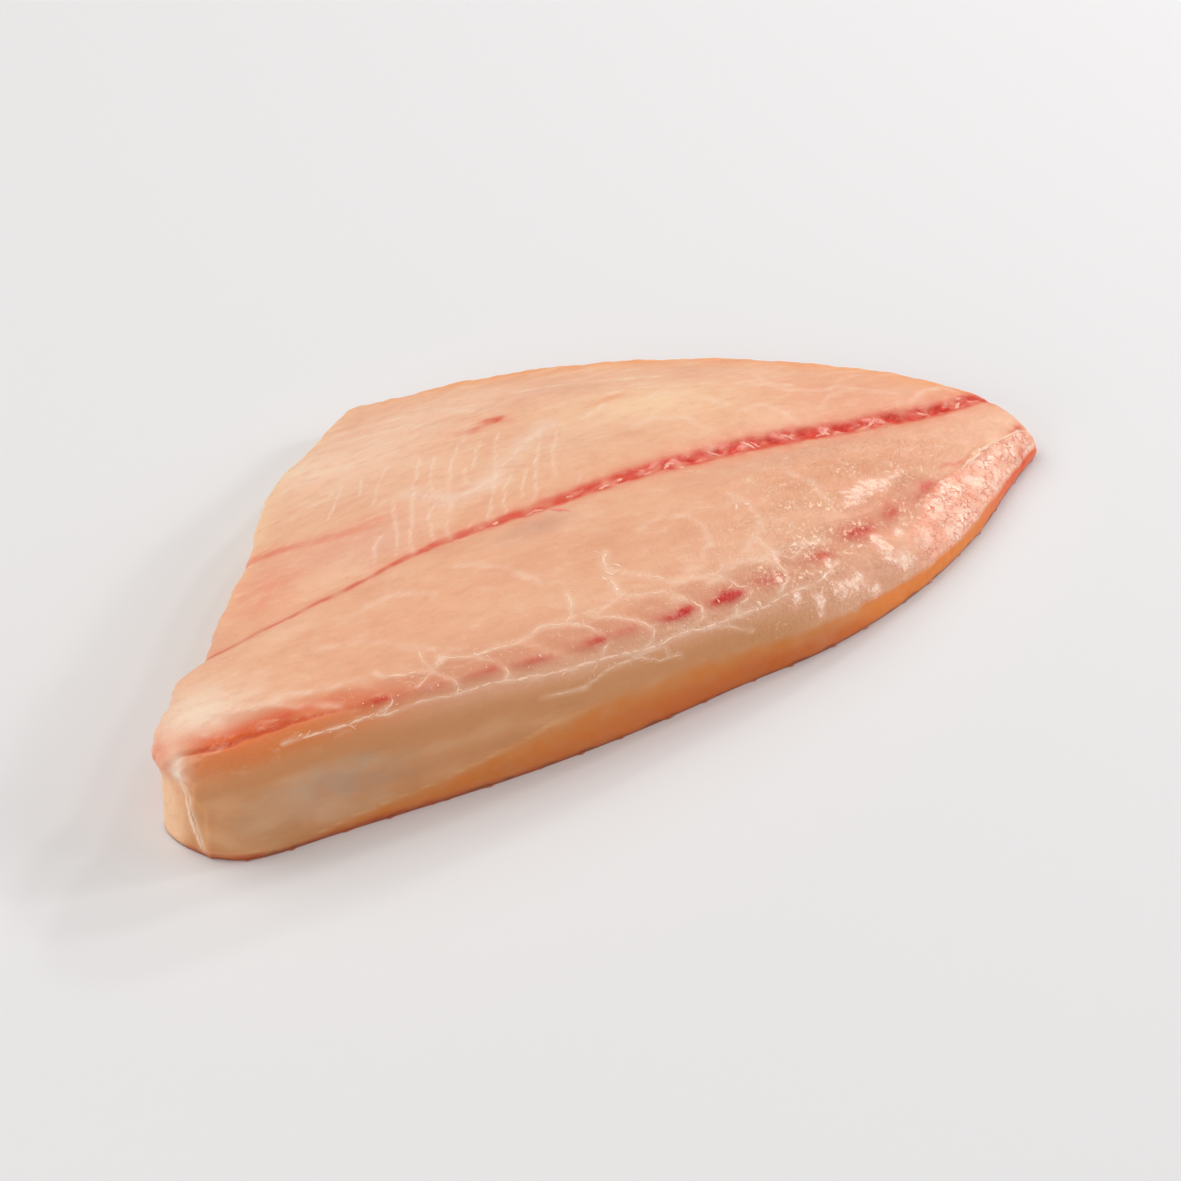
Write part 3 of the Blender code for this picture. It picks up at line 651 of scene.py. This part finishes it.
def mesh_piece(name, vertices, face_lists, values=()):
    """A smooth mesh object from points in millimetres, about the middle of the plan."""
    mesh = bpy.data.meshes.new(name)
    faces = [list(face) for faces in face_lists for face in faces]
    mesh.from_pydata(((vertices - plan_middle) * MM).tolist(), [], faces)
    for key, numbers in dict(values).items():
        if numbers.ndim == 1:
            mesh.attributes.new(key, "FLOAT", "POINT").data.foreach_set("value", numbers.astype(np.float32))
        else:
            flat_numbers = numbers.astype(np.float32).reshape(-1)
            mesh.attributes.new(key, "FLOAT_VECTOR", "POINT").data.foreach_set("vector", flat_numbers)
    mesh.shade_smooth()
    piece = bpy.data.objects.new(name, mesh)
    bpy.context.scene.collection.objects.link(piece)
    return piece


flesh = mesh_piece("flesh", places, (*quads, fan), paint)
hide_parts("fillet")
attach(flesh, "root")


class Shade:
    """An output in a material's node tree. Arithmetic on it adds Math nodes."""

    def __init__(self, tree, socket=None):
        self.tree = tree
        self.socket = socket

    def node(self, kind, settings=(), inputs=(), output=0):
        """Adds a node: its settings first, then the values or links of its inputs."""
        made = self.tree.nodes.new("ShaderNode" + kind)
        for name, value in dict(settings).items():
            setattr(made, name, value)
        for name, value in dict(inputs).items():
            if isinstance(value, Shade):
                self.tree.links.new(value.socket, made.inputs[name])
            else:
                made.inputs[name].default_value = value
        return Shade(self.tree, made.outputs[output])

    def math(self, operation, first, second=0.0):
        return self.node("Math", {"operation": operation}, {0: first, 1: second})

    def __add__(self, other):
        return self.math("ADD", self, other)

    def __radd__(self, other):
        return self.math("ADD", other, self)

    def __sub__(self, other):
        return self.math("SUBTRACT", self, other)

    def __rsub__(self, other):
        return self.math("SUBTRACT", other, self)

    def __mul__(self, other):
        return self.math("MULTIPLY", self, other)

    def __rmul__(self, other):
        return self.math("MULTIPLY", other, self)

    def __abs__(self):
        return self.math("ABSOLUTE", self)

    def named(self, name):
        """A number that the mesh carries at each place."""
        return self.node("Attribute", {"attribute_name": name}, output=2)

    def painted(self, name):
        """A colour that the mesh carries at each place."""
        return self.node("Attribute", {"attribute_name": name}, output=1)

    def between(self, low, high):
        """Rises smoothly from 0 at low to 1 at high."""
        ends = {"Value": self, "From Min": low, "From Max": high}
        return self.node("MapRange", {"interpolation_type": "SMOOTHSTEP"}, ends)

    def stretched(self, scale):
        """This vector, with each direction multiplied."""
        return self.node("VectorMath", {"operation": "MULTIPLY"}, {0: self, 1: scale})

    def noise(self, size, detail=2.0, rough=0.5):
        """Noise around 0.5, with features of this size in millimetres over this vector."""
        inputs = {"Vector": self, "Scale": 1 / (size * MM), "Detail": detail, "Roughness": rough}
        return self.node("TexNoise", inputs=inputs)

    def cells(self, size, feature="F1"):
        """Distances in a pattern of cells of this size in millimetres over this vector."""
        return self.node("TexVoronoi", {"feature": feature}, {"Vector": self, "Scale": 1 / (size * MM)})

    def over(self, colour, amount):
        """This colour with another one laid over it."""
        return self.node("Mix", {"data_type": "RGBA"}, {0: amount, 6: self, 7: colour}, output=2)

    def into(self, shader, **sockets):
        for name, value in sockets.items():
            self.tree.links.new(value.socket, shader.inputs[name.replace("_", " ")])


def tone(red, green, blue):
    """A colour given from 0 to 255 as a screen shows it."""
    return (*linear((red, green, blue)), 1.0)


def new_material(name, **constants):
    """A Principled material with its unvarying numbers set, its shader, and its node tree."""
    material = bpy.data.materials.new(name)
    material.use_nodes = True
    shader = material.node_tree.nodes["Principled BSDF"]
    for key, value in constants.items():
        shader.inputs[key.replace("_", " ")].default_value = value
    return material, shader, Shade(material.node_tree)


CRAZE_SIZE = 2.0
CRAZE_BEND = 2.2
CRAZE_BENDS = 600
flesh_material, shader, shade = new_material(
    "wet_raw_flesh", Subsurface_Weight=0.3, Subsurface_Radius=(1.0, 0.45, 0.25), Subsurface_Scale=0.002,
    IOR=1.4, Emission_Strength=0.3)
place = shade.node("TexCoord", output=3)
fine = place.noise(0.9, 3, 0.65)
grain = place.noise(0.4, 2, 0.6)
cloud = place.noise(9, 3, 0.55)
fibres = place.stretched((0.45, 1.0, 1.0)).noise(2.4, 5, 0.7)
streaks = place.stretched((0.12, 1.0, 1.0)).noise(1.6, 2, 0.6)
patchy = place.noise(3.0, 4, 0.65)
colour = shade.painted("base colour")
colour = colour.over(tone(255, 226, 196), streaks.between(0.52, 0.78) * shade.named("belly side") * 0.3)
grain_share = 1 - 0.8 * shade.named("wall")
colour = colour.over(tone(220, 144, 112), (1 - fibres.between(0.34, 0.52)) * 0.24 * grain_share)
colour = colour.over(tone(255, 224, 196), fibres.between(0.52, 0.72) * 0.24 * grain_share)
colour = colour.over(tone(255, 230, 206), grain.between(0.62, 0.74) * 0.16 * grain_share)
veil_and_sheen, film, sparkle = shade.named("veil_and_sheen"), shade.named("membrane"), shade.named("sparkle")
slant = place.node("VectorRotate", {"rotation_type": "Z_AXIS"}, {"Vector": place, "Angle": 0.6})
lines = abs(slant.stretched((1.0, 0.45, 1.0)).noise(1.5, 3, 0.6) - 0.5)
cracks = (1 - lines.between(0.0, 0.035)) * place.noise(3.5, 1).between(0.4, 0.54)
bends = slant.node("TexNoise", inputs={"Vector": slant, "Scale": CRAZE_BENDS}, output=1)
bent = slant.node(
    "VectorMath", {"operation": "ADD"},
    {0: slant.stretched((0.75, 1.3, 1.0)), 1: bends.stretched((CRAZE_BEND * MM,) * 3)})
crazing = (1 - bent.cells(CRAZE_SIZE, "DISTANCE_TO_EDGE").between(0.0, 0.09)) * patchy.between(0.38, 0.58)
raked = slant.stretched((0.8, 1.4, 1.0))
torn = raked.noise(1.5, 5, 0.75)
# Broken pale islands in the veils, and lighter patches of the membrane: partly their own pale colour, partly a
# painted sheen.
cover_and_sheen = (veil_and_sheen * 0.8 + (torn - 0.5) * 2.6 + (patchy - 0.5) * 1.2).between(0.4, 0.75) * veil_and_sheen.between(0.02, 0.2)
pale_film_and_sheen = film * raked.noise(5.0, 3, 0.6).between(0.42, 0.66) * (1 - crazing)
# The torn veils are paler: partly the membrane's own colour, partly a painted reflection.
colour = colour.over(tone(255, 206, 180), (veil_and_sheen * 1.4).between(0.2, 1.2) * 0.45)
colour = colour.over(tone(255, 218, 198), pale_film_and_sheen * 0.7)
colour = colour.over(tone(255, 222, 202), cover_and_sheen * 0.7)
# Darker along the membrane's crinkles: painted shade in the creases.
colour = colour.over(tone(222, 112, 86), (cracks * 0.4 + crazing * 0.7) * (veil_and_sheen * 0.6 + film * 0.8))
# Painted glints: small bright specks in the shiniest part of the tail.
facets = (slant.stretched((1.1, 0.7, 1.0)).noise(0.8, 4, 0.75) + sparkle * 0.1).between(0.62, 0.68)
clusters = place.noise(6.0, 2).between(0.3, 0.54) * (0.35 + 0.65 * patchy.between(0.45, 0.6))
painted_glints = facets * sparkle * clusters
colour = colour.over(tone(255, 224, 200), painted_glints * 0.7)
pits = shade.named("pocket")
lit = cover_and_sheen + painted_glints + pale_film_and_sheen
shine = ((shade.named("wet") + lit) * 0.3 + sparkle * 0.7 + film * 0.5).between(0.0, 1.0)
roughness = 0.42 - 0.3 * shine * patchy.between(0.25, 0.5) + 0.4 * pits
# A painted glow: the membrane, its veils, the pale patches, the painted glints and the blood pockets give off a
# little light of their own.
painted_glow = shade.node("RGB")
painted_glow.socket.default_value = (0.0, 0.0, 0.0, 1.0)
painted_glow = painted_glow.over(tone(255, 170, 140), film * 0.3 + veil_and_sheen * 0.2)
painted_glow = painted_glow.over(tone(255, 222, 196), (painted_glints + cover_and_sheen * 0.6 + pale_film_and_sheen * 0.35) * 0.9)
painted_glow = painted_glow.over(tone(214, 48, 36), pits * 0.7)
shade.into(shader, Base_Color=colour, Emission_Color=painted_glow, Roughness=roughness)
# Heights of the fine relief, in millimetres.
relief = fine * (0.1 + sparkle * 0.35 + film * 0.05) + grain * 0.05 + patchy * (0.12 + sparkle * 0.4)
relief = relief + (cover_and_sheen + painted_glints) * 0.06 - (cracks + crazing) * (film + veil_and_sheen) * 0.1
relief = relief + cloud * 0.1 + lines.between(0.0, 0.15) * (sparkle + film * 0.15) * 0.15
bump = shade.node("Bump", inputs={"Strength": 0.8, "Distance": MM, "Height": relief})
shade.into(shader, Normal=bump)
flesh.data.materials.append(flesh_material)

# The skin: thin, tough and silvery, left on under the flesh. Its torn rim shows as a thin
# brown line all along the foot of the back wall. It is one closed sheet with tiny scales.
SKIN_CELLS = (220, 60)
BACK_ROWS = SKIN_CELLS[1] + 1
SKIN_LIP = 0.35
LIP_WIDTH = 3.0
SCALE_SIZE = 1.1
along, across = np.meshgrid(np.linspace(0, 1, SKIN_CELLS[0] + 1), np.linspace(0, 1, BACK_ROWS))
half_sheets = [stretched_sheet(half, along, across) for half in (0, 1)]
skin_sheet = np.concatenate([half_sheets[0], half_sheets[1][1:]])
skin_along = np.concatenate([along, along[1:]])
from_back = plan_gap(skin_sheet, BACK(skin_along))
from_back[BACK_ROWS:] = 99
from_belly = plan_gap(skin_sheet, BELLY(skin_along))
from_belly[:BACK_ROWS] = 99
skin_lift = np.minimum(
    BELLY_LIFT / BELLY_LIFT_WIDTH * rounded_off(from_belly, BELLY_LIFT_WIDTH), MOST_LIFT * skin_sheet[..., 2])
middle = skin_sheet[BACK_ROWS - 1]
outward = skin_sheet[..., :2] - middle[None, :, :2]
outward /= np.hypot(outward[..., 0], outward[..., 1])[..., None] + 1e-6
torn_out = ramp(ragged(3 * skin_along, 0.4), 0.3, 0.9) - 0.7
lip = SKIN_LIP * np.clip(1 - from_back / LIP_WIDTH, 0, 1) * torn_out
skin_x = skin_sheet[..., 0] + outward[..., 0] * lip
skin_y = skin_sheet[..., 1] + outward[..., 1] * lip
skin_y += edge_wave(from_belly, skin_along, BELLY_WAVE_START)
from_head = np.concatenate([
    plan_gap(half_sheets[0], HEAD_HALVES[0](across)), plan_gap(half_sheets[1], HEAD_HALVES[1](across))[1:]])
skin_lobe = np.clip(1 - from_head / HEAD_UNDERCUT_REACH, 0, 1) ** 2
skin_lobe[:BACK_ROWS] *= 1 - across
skin_lobe[BACK_ROWS:] = 0
skin_x += skin_lobe * (HEAD_UNDERCUT[0] + 0.2)
skin_top = np.stack([skin_x, skin_y, skin_lift + SKIN_THICKNESS], -1)
skin_foot = skin_top - (0, 0, SKIN_THICKNESS)
skin_rows, skin_columns = skin_x.shape
numbers = np.arange(skin_rows * skin_columns).reshape(skin_rows, skin_columns)
rim = np.concatenate([numbers[0, :-1], numbers[:-1, -1], numbers[-1, :0:-1], numbers[:0:-1, 0]])
corners = (numbers[:-1, :-1], numbers[:-1, 1:], numbers[1:, 1:], numbers[1:, :-1])
cells = np.stack([corner.reshape(-1) for corner in corners], -1)
below = cells[:, ::-1] + numbers.size
sides = np.stack([rim, rim + numbers.size, np.roll(rim, -1) + numbers.size, np.roll(rim, -1)], -1)
skin_edge = np.minimum(np.minimum(from_back, from_belly), from_head).reshape(-1)
skin_paint = {"edge": 1 - ramp(np.tile(skin_edge, 2), 0.5, 3.0)}
skin_points = np.concatenate([skin_top.reshape(-1, 3), skin_foot.reshape(-1, 3)])
skin = mesh_piece("skin", skin_points, (cells, below, sides), skin_paint)
skin_material, shader, shade = new_material("silvery_skin", Coat_Roughness=0.15)
place = shade.node("TexCoord", output=3)
scales = place.cells(SCALE_SIZE)
clouds = place.noise(14, 3)
colour = shade.node("RGB")
colour.socket.default_value = tone(124, 98, 80)
colour = colour.over(tone(78, 60, 50), clouds.between(0.45, 0.75) * 0.7)
colour = colour.over(tone(214, 206, 190), scales.between(0.1, 0.6) * 0.3)
edge = shade.named("edge")
colour = colour.over(tone(200, 104, 66), edge * 0.97)
shade.into(
    shader, Base_Color=colour, Metallic=0.35 * clouds * (1 - edge),
    Roughness=0.25 + 0.25 * clouds, Coat_Weight=0.5 * clouds + 0.2)
shade.into(shader, Normal=shade.node("Bump", inputs={"Strength": 0.5, "Distance": 0.0002, "Height": scales}))
skin.data.materials.append(skin_material)
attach(skin, "root")

# White connective tissue: fine glossy threads that stand a little proud of the flesh, with
# short side branches, and small torn bits of it strewn round them. Each thread is a flattened
# closed tube laid on the flesh.
THREAD_STEP = 0.4
THREAD_HEIGHT = 0.2
BRANCH_EVERY = 8.0
SPECK_EVERY = 3.0
SPECK_LIFT = 0.6
GAP_SHARE = 0.22
SPECKS = 90
# Torn bits in the bloodline's channel, as (x, way off the bloodline).
TORN_BITS = [
    [(-21, -0.5), (-19, 0.3)], [(-14, -0.9), (-11, -0.4), (-8, -1.1)],
    [(-9, -1.2), (-7, -3), (-5, -4), (-4, -6)], [(-3, 0.2), (-1, 0)], [(4, -0.8), (8, -0.3)],
    [(9, -0.5), (11, 0.1)], [(15, -0.8), (18, -0.2)], [(20, -1.2), (22, 0.6), (24, -0.2)],
    [(23, -2.0), (25, -1.6)], [(31.5, 1.8), (33, 0.4), (34.5, -1.6)], [(40, 1.9), (42, 0.6), (43.5, -1.6)],
    [(42.5, 1.6), (44, 0.2), (45, -1.2)], [(50, 1.8), (52, 0.2), (53, -1.2)],
    [(57, -1.4), (60, -0.4), (63, 1.2)], [(59, 0.4), (62, -0.8)], [(70, -1.4), (73, 0.1), (75, 1.6)],
    [(72, -0.6), (75.5, 0.6)], [(84, 1.4), (86, 0.1), (88, -1.2)], [(94, -1.1), (97, 0.8)],
    [(95.5, 1.4), (98, 1.6)],
]
BIT_HALF_WIDTH = 0.5
BIT_SHARE = 0.7
BIT_LIFT = 0.35
# Broad torn flakes above the cones, as (x, way in from the rim).
TORN_FLAKES = [
    [(-5.5, 27.5), (-6.3, 25.8)], [(-7.5, 25.5), (-7, 23.3)], [(-8.5, 23), (-7.4, 21)],
    [(-9, 20), (-8.3, 17.8)], [(-6, 24), (-4.8, 22.4)], [(-10, 21.5), (-9.4, 20.2)],
    [(27, 31), (28.5, 29.5)], [(28, 29.5), (26.5, 27.5)], [(29, 28.5), (30.5, 27.5)],
    [(17, 3.5), (17.5, 1.5)], [(16.5, 1.8), (16, 0.4)], [(35, 15), (36, 12.5)],
]
FLAKE_HALF_WIDTH = 0.45
FLAKE_LIFT = 0.4
SINEW_HALF_WIDTH = 0.6
SINEW_LIFT = 0.5
# The pale torn edge along the membrane's fold, as (x, y).
RIDGE = [(82, -29.6), (87.5, -27.4), (93, -25), (98, -23.4), (102, -22.8), (105, -22.3)]
RIDGE_HALF_WIDTH = 0.55
RIDGE_LIFT = 0.7
draw = np.random.default_rng(7)
flesh_normals = np.empty(len(places) * 3, np.float32)
flesh.data.vertex_normals.foreach_get("vector", flesh_normals)
flesh_normals = flesh_normals.reshape(-1, 3)
top_count = ROWS * COLUMNS
back_ring = [top_count + level * len(ring) + k for level in range(CELLS_UP) for k in range(COLUMNS)]
by_way_in = kdtree.KDTree(top_count + len(back_ring))
by_plan = kdtree.KDTree(top_count)
for index in (*range(top_count), *back_ring):
    by_way_in.insert((places[index, 0], ways_in[index], 0), index)
for index in range(top_count):
    by_plan.insert((places[index, 0], places[index, 1], 0), index)
by_way_in.balance()
by_plan.balance()


def laid(points, tree):
    """Places on the flesh, and its normals there, for points given as the tree's keys."""
    spots, normals = [], []
    for first, second in points:
        found = tree.find_n((first, second, 0), 4)
        share = np.array([1 / (0.02 + gap**2) for _, _, gap in found])[:, None]
        nearest = [index for _, index, _ in found]
        spots.append((places[nearest] * share).sum(0) / share.sum())
        normals.append((flesh_normals[nearest] * share).sum(0) / share.sum())
    return np.array(spots), np.array(normals)


def thread(spots, normals, half_width, lift=THREAD_HEIGHT, pink=0.0):
    """Vertices and faces of a flattened tube along the spots, uneven and tapered at both ends."""
    count = len(spots)
    run = np.gradient(spots, axis=0)
    side = np.cross(normals, run)
    side /= np.linalg.norm(side, axis=1)[:, None] + 1e-9
    share = np.linspace(0, 1, count)
    width = half_width * np.sqrt(np.clip(np.sin(np.pi * share), 0.04, 1)) * draw.uniform(0.6, 1.25, count)
    shape = ((-1, -0.15), (-0.6, 0.7), (0, 1.0), (0.6, 0.7), (1, -0.15), (0, -0.5))
    rings = [spots + side * (width * u)[:, None] + normals * (width * lift * v)[:, None] for u, v in shape]
    vertices = np.stack(rings, 1).reshape(-1, 3)
    corners = np.arange(6)
    after = np.roll(corners, -1)
    faces = []
    for step in range(count - 1):
        low, high = 6 * step, 6 * step + 6
        faces += np.stack([low + corners, low + after, high + after, high + corners], -1).tolist()
    faces += [corners[::-1].tolist(), (6 * (count - 1) + corners).tolist()]
    return vertices, faces, np.full(len(vertices), pink)


def dotted(points, wobble_size):
    """A smooth, slightly wandering line of close points through the given ones."""
    length = sum(math.dist(a, b) for a, b in zip(points, points[1:]))
    shares = np.linspace(0, 1, max(4, round(length / THREAD_STEP)))
    curve = smooth_curve([(*point, 0) for point in points])(shares)
    wander_by = np.stack([grained(curve, 1.8, 41.0), grained(curve, 1.8, 42.0)], -1)
    return curve[:, :2] + wobble_size * wander_by


threads = [thread(*laid(dotted(RIDGE, 0.6), by_plan), RIDGE_HALF_WIDTH, RIDGE_LIFT)]
speck_at = []
for half_width, points in WEB:
    line = dotted(points, 0.4)
    length = THREAD_STEP * len(line)
    cuts = np.cumsum(draw.integers(5, 16, len(line)))
    for piece in np.split(line, cuts[cuts < len(line) - 4]):
        if draw.random() > GAP_SHARE:
            threads.append(thread(*laid(piece, by_way_in), half_width * draw.uniform(0.7, 1.3)))
    for _ in range(round(length / SPECK_EVERY)):
        at = line[draw.integers(len(line))] + draw.normal(0, 0.7, 2)
        speck_at.append(at)
    for _ in range(round(length / BRANCH_EVERY)):
        start = line[draw.integers(len(line))]
        way = draw.uniform(0, 2 * math.pi)
        reach = draw.uniform(0.8, 2.8)
        end = start + reach * np.array((math.cos(way), math.sin(way)))
        bend = (start + end) / 2 + draw.normal(0, 0.2 * reach, 2)
        branch = dotted([tuple(start), tuple(bend), tuple(end)], 0.3)
        threads.append(thread(*laid(branch, by_way_in), 0.45 * half_width))
for points in TORN_FLAKES:
    threads.append(thread(*laid(dotted(points, 0.3), by_way_in), FLAKE_HALF_WIDTH, FLAKE_LIFT))
for points in TORN_BITS:
    line = dotted(points, 0.4)
    line = line.mean(0) + (line - line.mean(0)) * BIT_SHARE
    line[:, 1] += np.interp(line[:, 0], dense_blood[:, 0], dense_blood[:, 1])
    line[:, 1] += np.interp(line[:, 0], BLOOD_SWAY_X, BLOOD_SWAY)
    threads.append(thread(*laid(line, by_plan), BIT_HALF_WIDTH, BIT_LIFT, 1.0))
sinew = smooth_curve(CORNER_SINEW)(np.linspace(0, 1, 40))
nearest = list(dict.fromkeys(int(np.argmin(((places - spot) ** 2).sum(1))) for spot in sinew))
threads.append(thread(places[nearest], flesh_normals[nearest], SINEW_HALF_WIDTH, SINEW_LIFT))
for _ in range(SPECKS):
    at_x = draw.uniform(-70, 72)
    speck_at.append(np.array((at_x, draw.normal(9, 5.5) + max(0.0, at_x - 15) * 0.2)))
for at in speck_at:
    way = draw.normal(1.2, 0.6)
    length = draw.exponential(0.25) + 0.25
    step = length * np.array((math.cos(way), math.sin(way)))
    line = dotted([tuple(at), tuple(at + step / 2), tuple(at + step)], 0.2)
    threads.append(thread(*laid(line, by_way_in), draw.uniform(0.1, 0.24), SPECK_LIFT))
starts = np.cumsum([0] + [len(vertices) for vertices, _, _ in threads])
thread_faces = [
    [corner + int(start) for corner in face]
    for start, (_, faces, _) in zip(starts, threads) for face in faces
]
web_points = np.concatenate([vertices for vertices, _, _ in threads])
web_paint = {"pink": np.concatenate([pink for _, _, pink in threads])}
web = mesh_piece("connective_tissue", web_points, [thread_faces], web_paint)
web_material, shader, shade = new_material(
    "white_tissue", Roughness=0.5, Coat_Weight=0.4, Coat_Roughness=0.15, Emission_Strength=0.08)
place = shade.node("TexCoord", output=3)
tint = place.noise(3, 2)
colour = shade.node("RGB")
colour.socket.default_value = tone(248, 204, 174)
colour = colour.over(tone(242, 188, 156), tint.between(0.4, 0.6) * 0.8)
colour = colour.over(tone(255, 236, 218), tint.between(0.62, 0.8) * 0.8)
colour = colour.over(tone(238, 134, 118), shade.named("pink") * (0.45 + 0.5 * tint.between(0.4, 0.6)))
# The threads also give off a little light of their own colour: a painted glow.
shade.into(shader, Base_Color=colour, Emission_Color=colour)
web.data.materials.append(web_material)
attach(web, "root")

# The table: a plain pale surface.
bpy.ops.mesh.primitive_plane_add(size=6, location=(0, 0, -0.0001))
table = bpy.context.object
table.name = "table"
table_material, shader, shade = new_material("pale_table", Roughness=0.9)
shader.inputs["Base Color"].default_value = tone(233, 232, 233)
table.data.materials.append(table_material)

# The studio: a wide soft key from behind and above on the left, low fills left and right, and
# three small softboxes off the tail, whose reflections break up on the wet membrane there.
# Each light is (name, place, size, watts, colour).
LIGHTS = [
    ("key", (-0.91, 1.11, 1.92), 1.8, 28.0, (1.0, 0.985, 0.96)),
    ("far_gloss", (0.78, 0.47, 0.62), 0.09, 1.3, (1.0, 1.0, 1.0)),
    ("gloss", (0.86, 0.14, 0.66), 0.1, 1.5, (1.0, 1.0, 1.0)),
    ("low_gloss", (0.9, -0.28, 0.54), 0.1, 1.3, (1.0, 1.0, 1.0)),
    ("left", (-1.0, -0.35, 0.45), 0.6, 3.2, (1.0, 0.98, 0.95)),
    ("right", (1.5, -0.75, 0.8), 1.0, 9.0, (1.0, 0.98, 0.96)),
]
for name, spot, size, watts, light_colour in LIGHTS:
    lamp = bpy.data.lights.new(name, "AREA")
    lamp.size = size
    lamp.energy = watts
    lamp.color = light_colour
    holder = bpy.data.objects.new(name, lamp)
    holder.location = spot
    holder.rotation_euler = Vector(spot).to_track_quat("Z", "Y").to_euler()
    bpy.context.scene.collection.objects.link(holder)
SKY_STRENGTH = 0.28
world = bpy.data.worlds.new("studio")
world.use_nodes = True
backdrop = world.node_tree.nodes["Background"]
backdrop.inputs["Color"].default_value = (1.0, 1.0, 1.0, 1.0)
backdrop.inputs["Strength"].default_value = SKY_STRENGTH
bpy.context.scene.world = world
bpy.context.scene.view_settings.view_transform = "Standard"

# The camera looks down from the back side of the fish, a little from the head end.
CAMERA_TURN = -30
CAMERA_HEIGHT = 40
CAMERA_DISTANCE = 0.63
CAMERA_AIM = (-0.0007, -0.0148, 0.0)
CAMERA_LENS = 92
turn, climb = math.radians(CAMERA_TURN), math.radians(CAMERA_HEIGHT)
away = Vector((math.sin(turn) * math.cos(climb), -math.cos(turn) * math.cos(climb), math.sin(climb)))
lens = bpy.data.cameras.new("camera")
lens.lens = CAMERA_LENS
lens.sensor_width = 36
lens.clip_start = 0.01
camera = bpy.data.objects.new("camera", lens)
camera.location = Vector(CAMERA_AIM) + away * CAMERA_DISTANCE
camera.rotation_euler = away.to_track_quat("Z", "Y").to_euler()
bpy.context.scene.collection.objects.link(camera)
bpy.context.scene.camera = camera
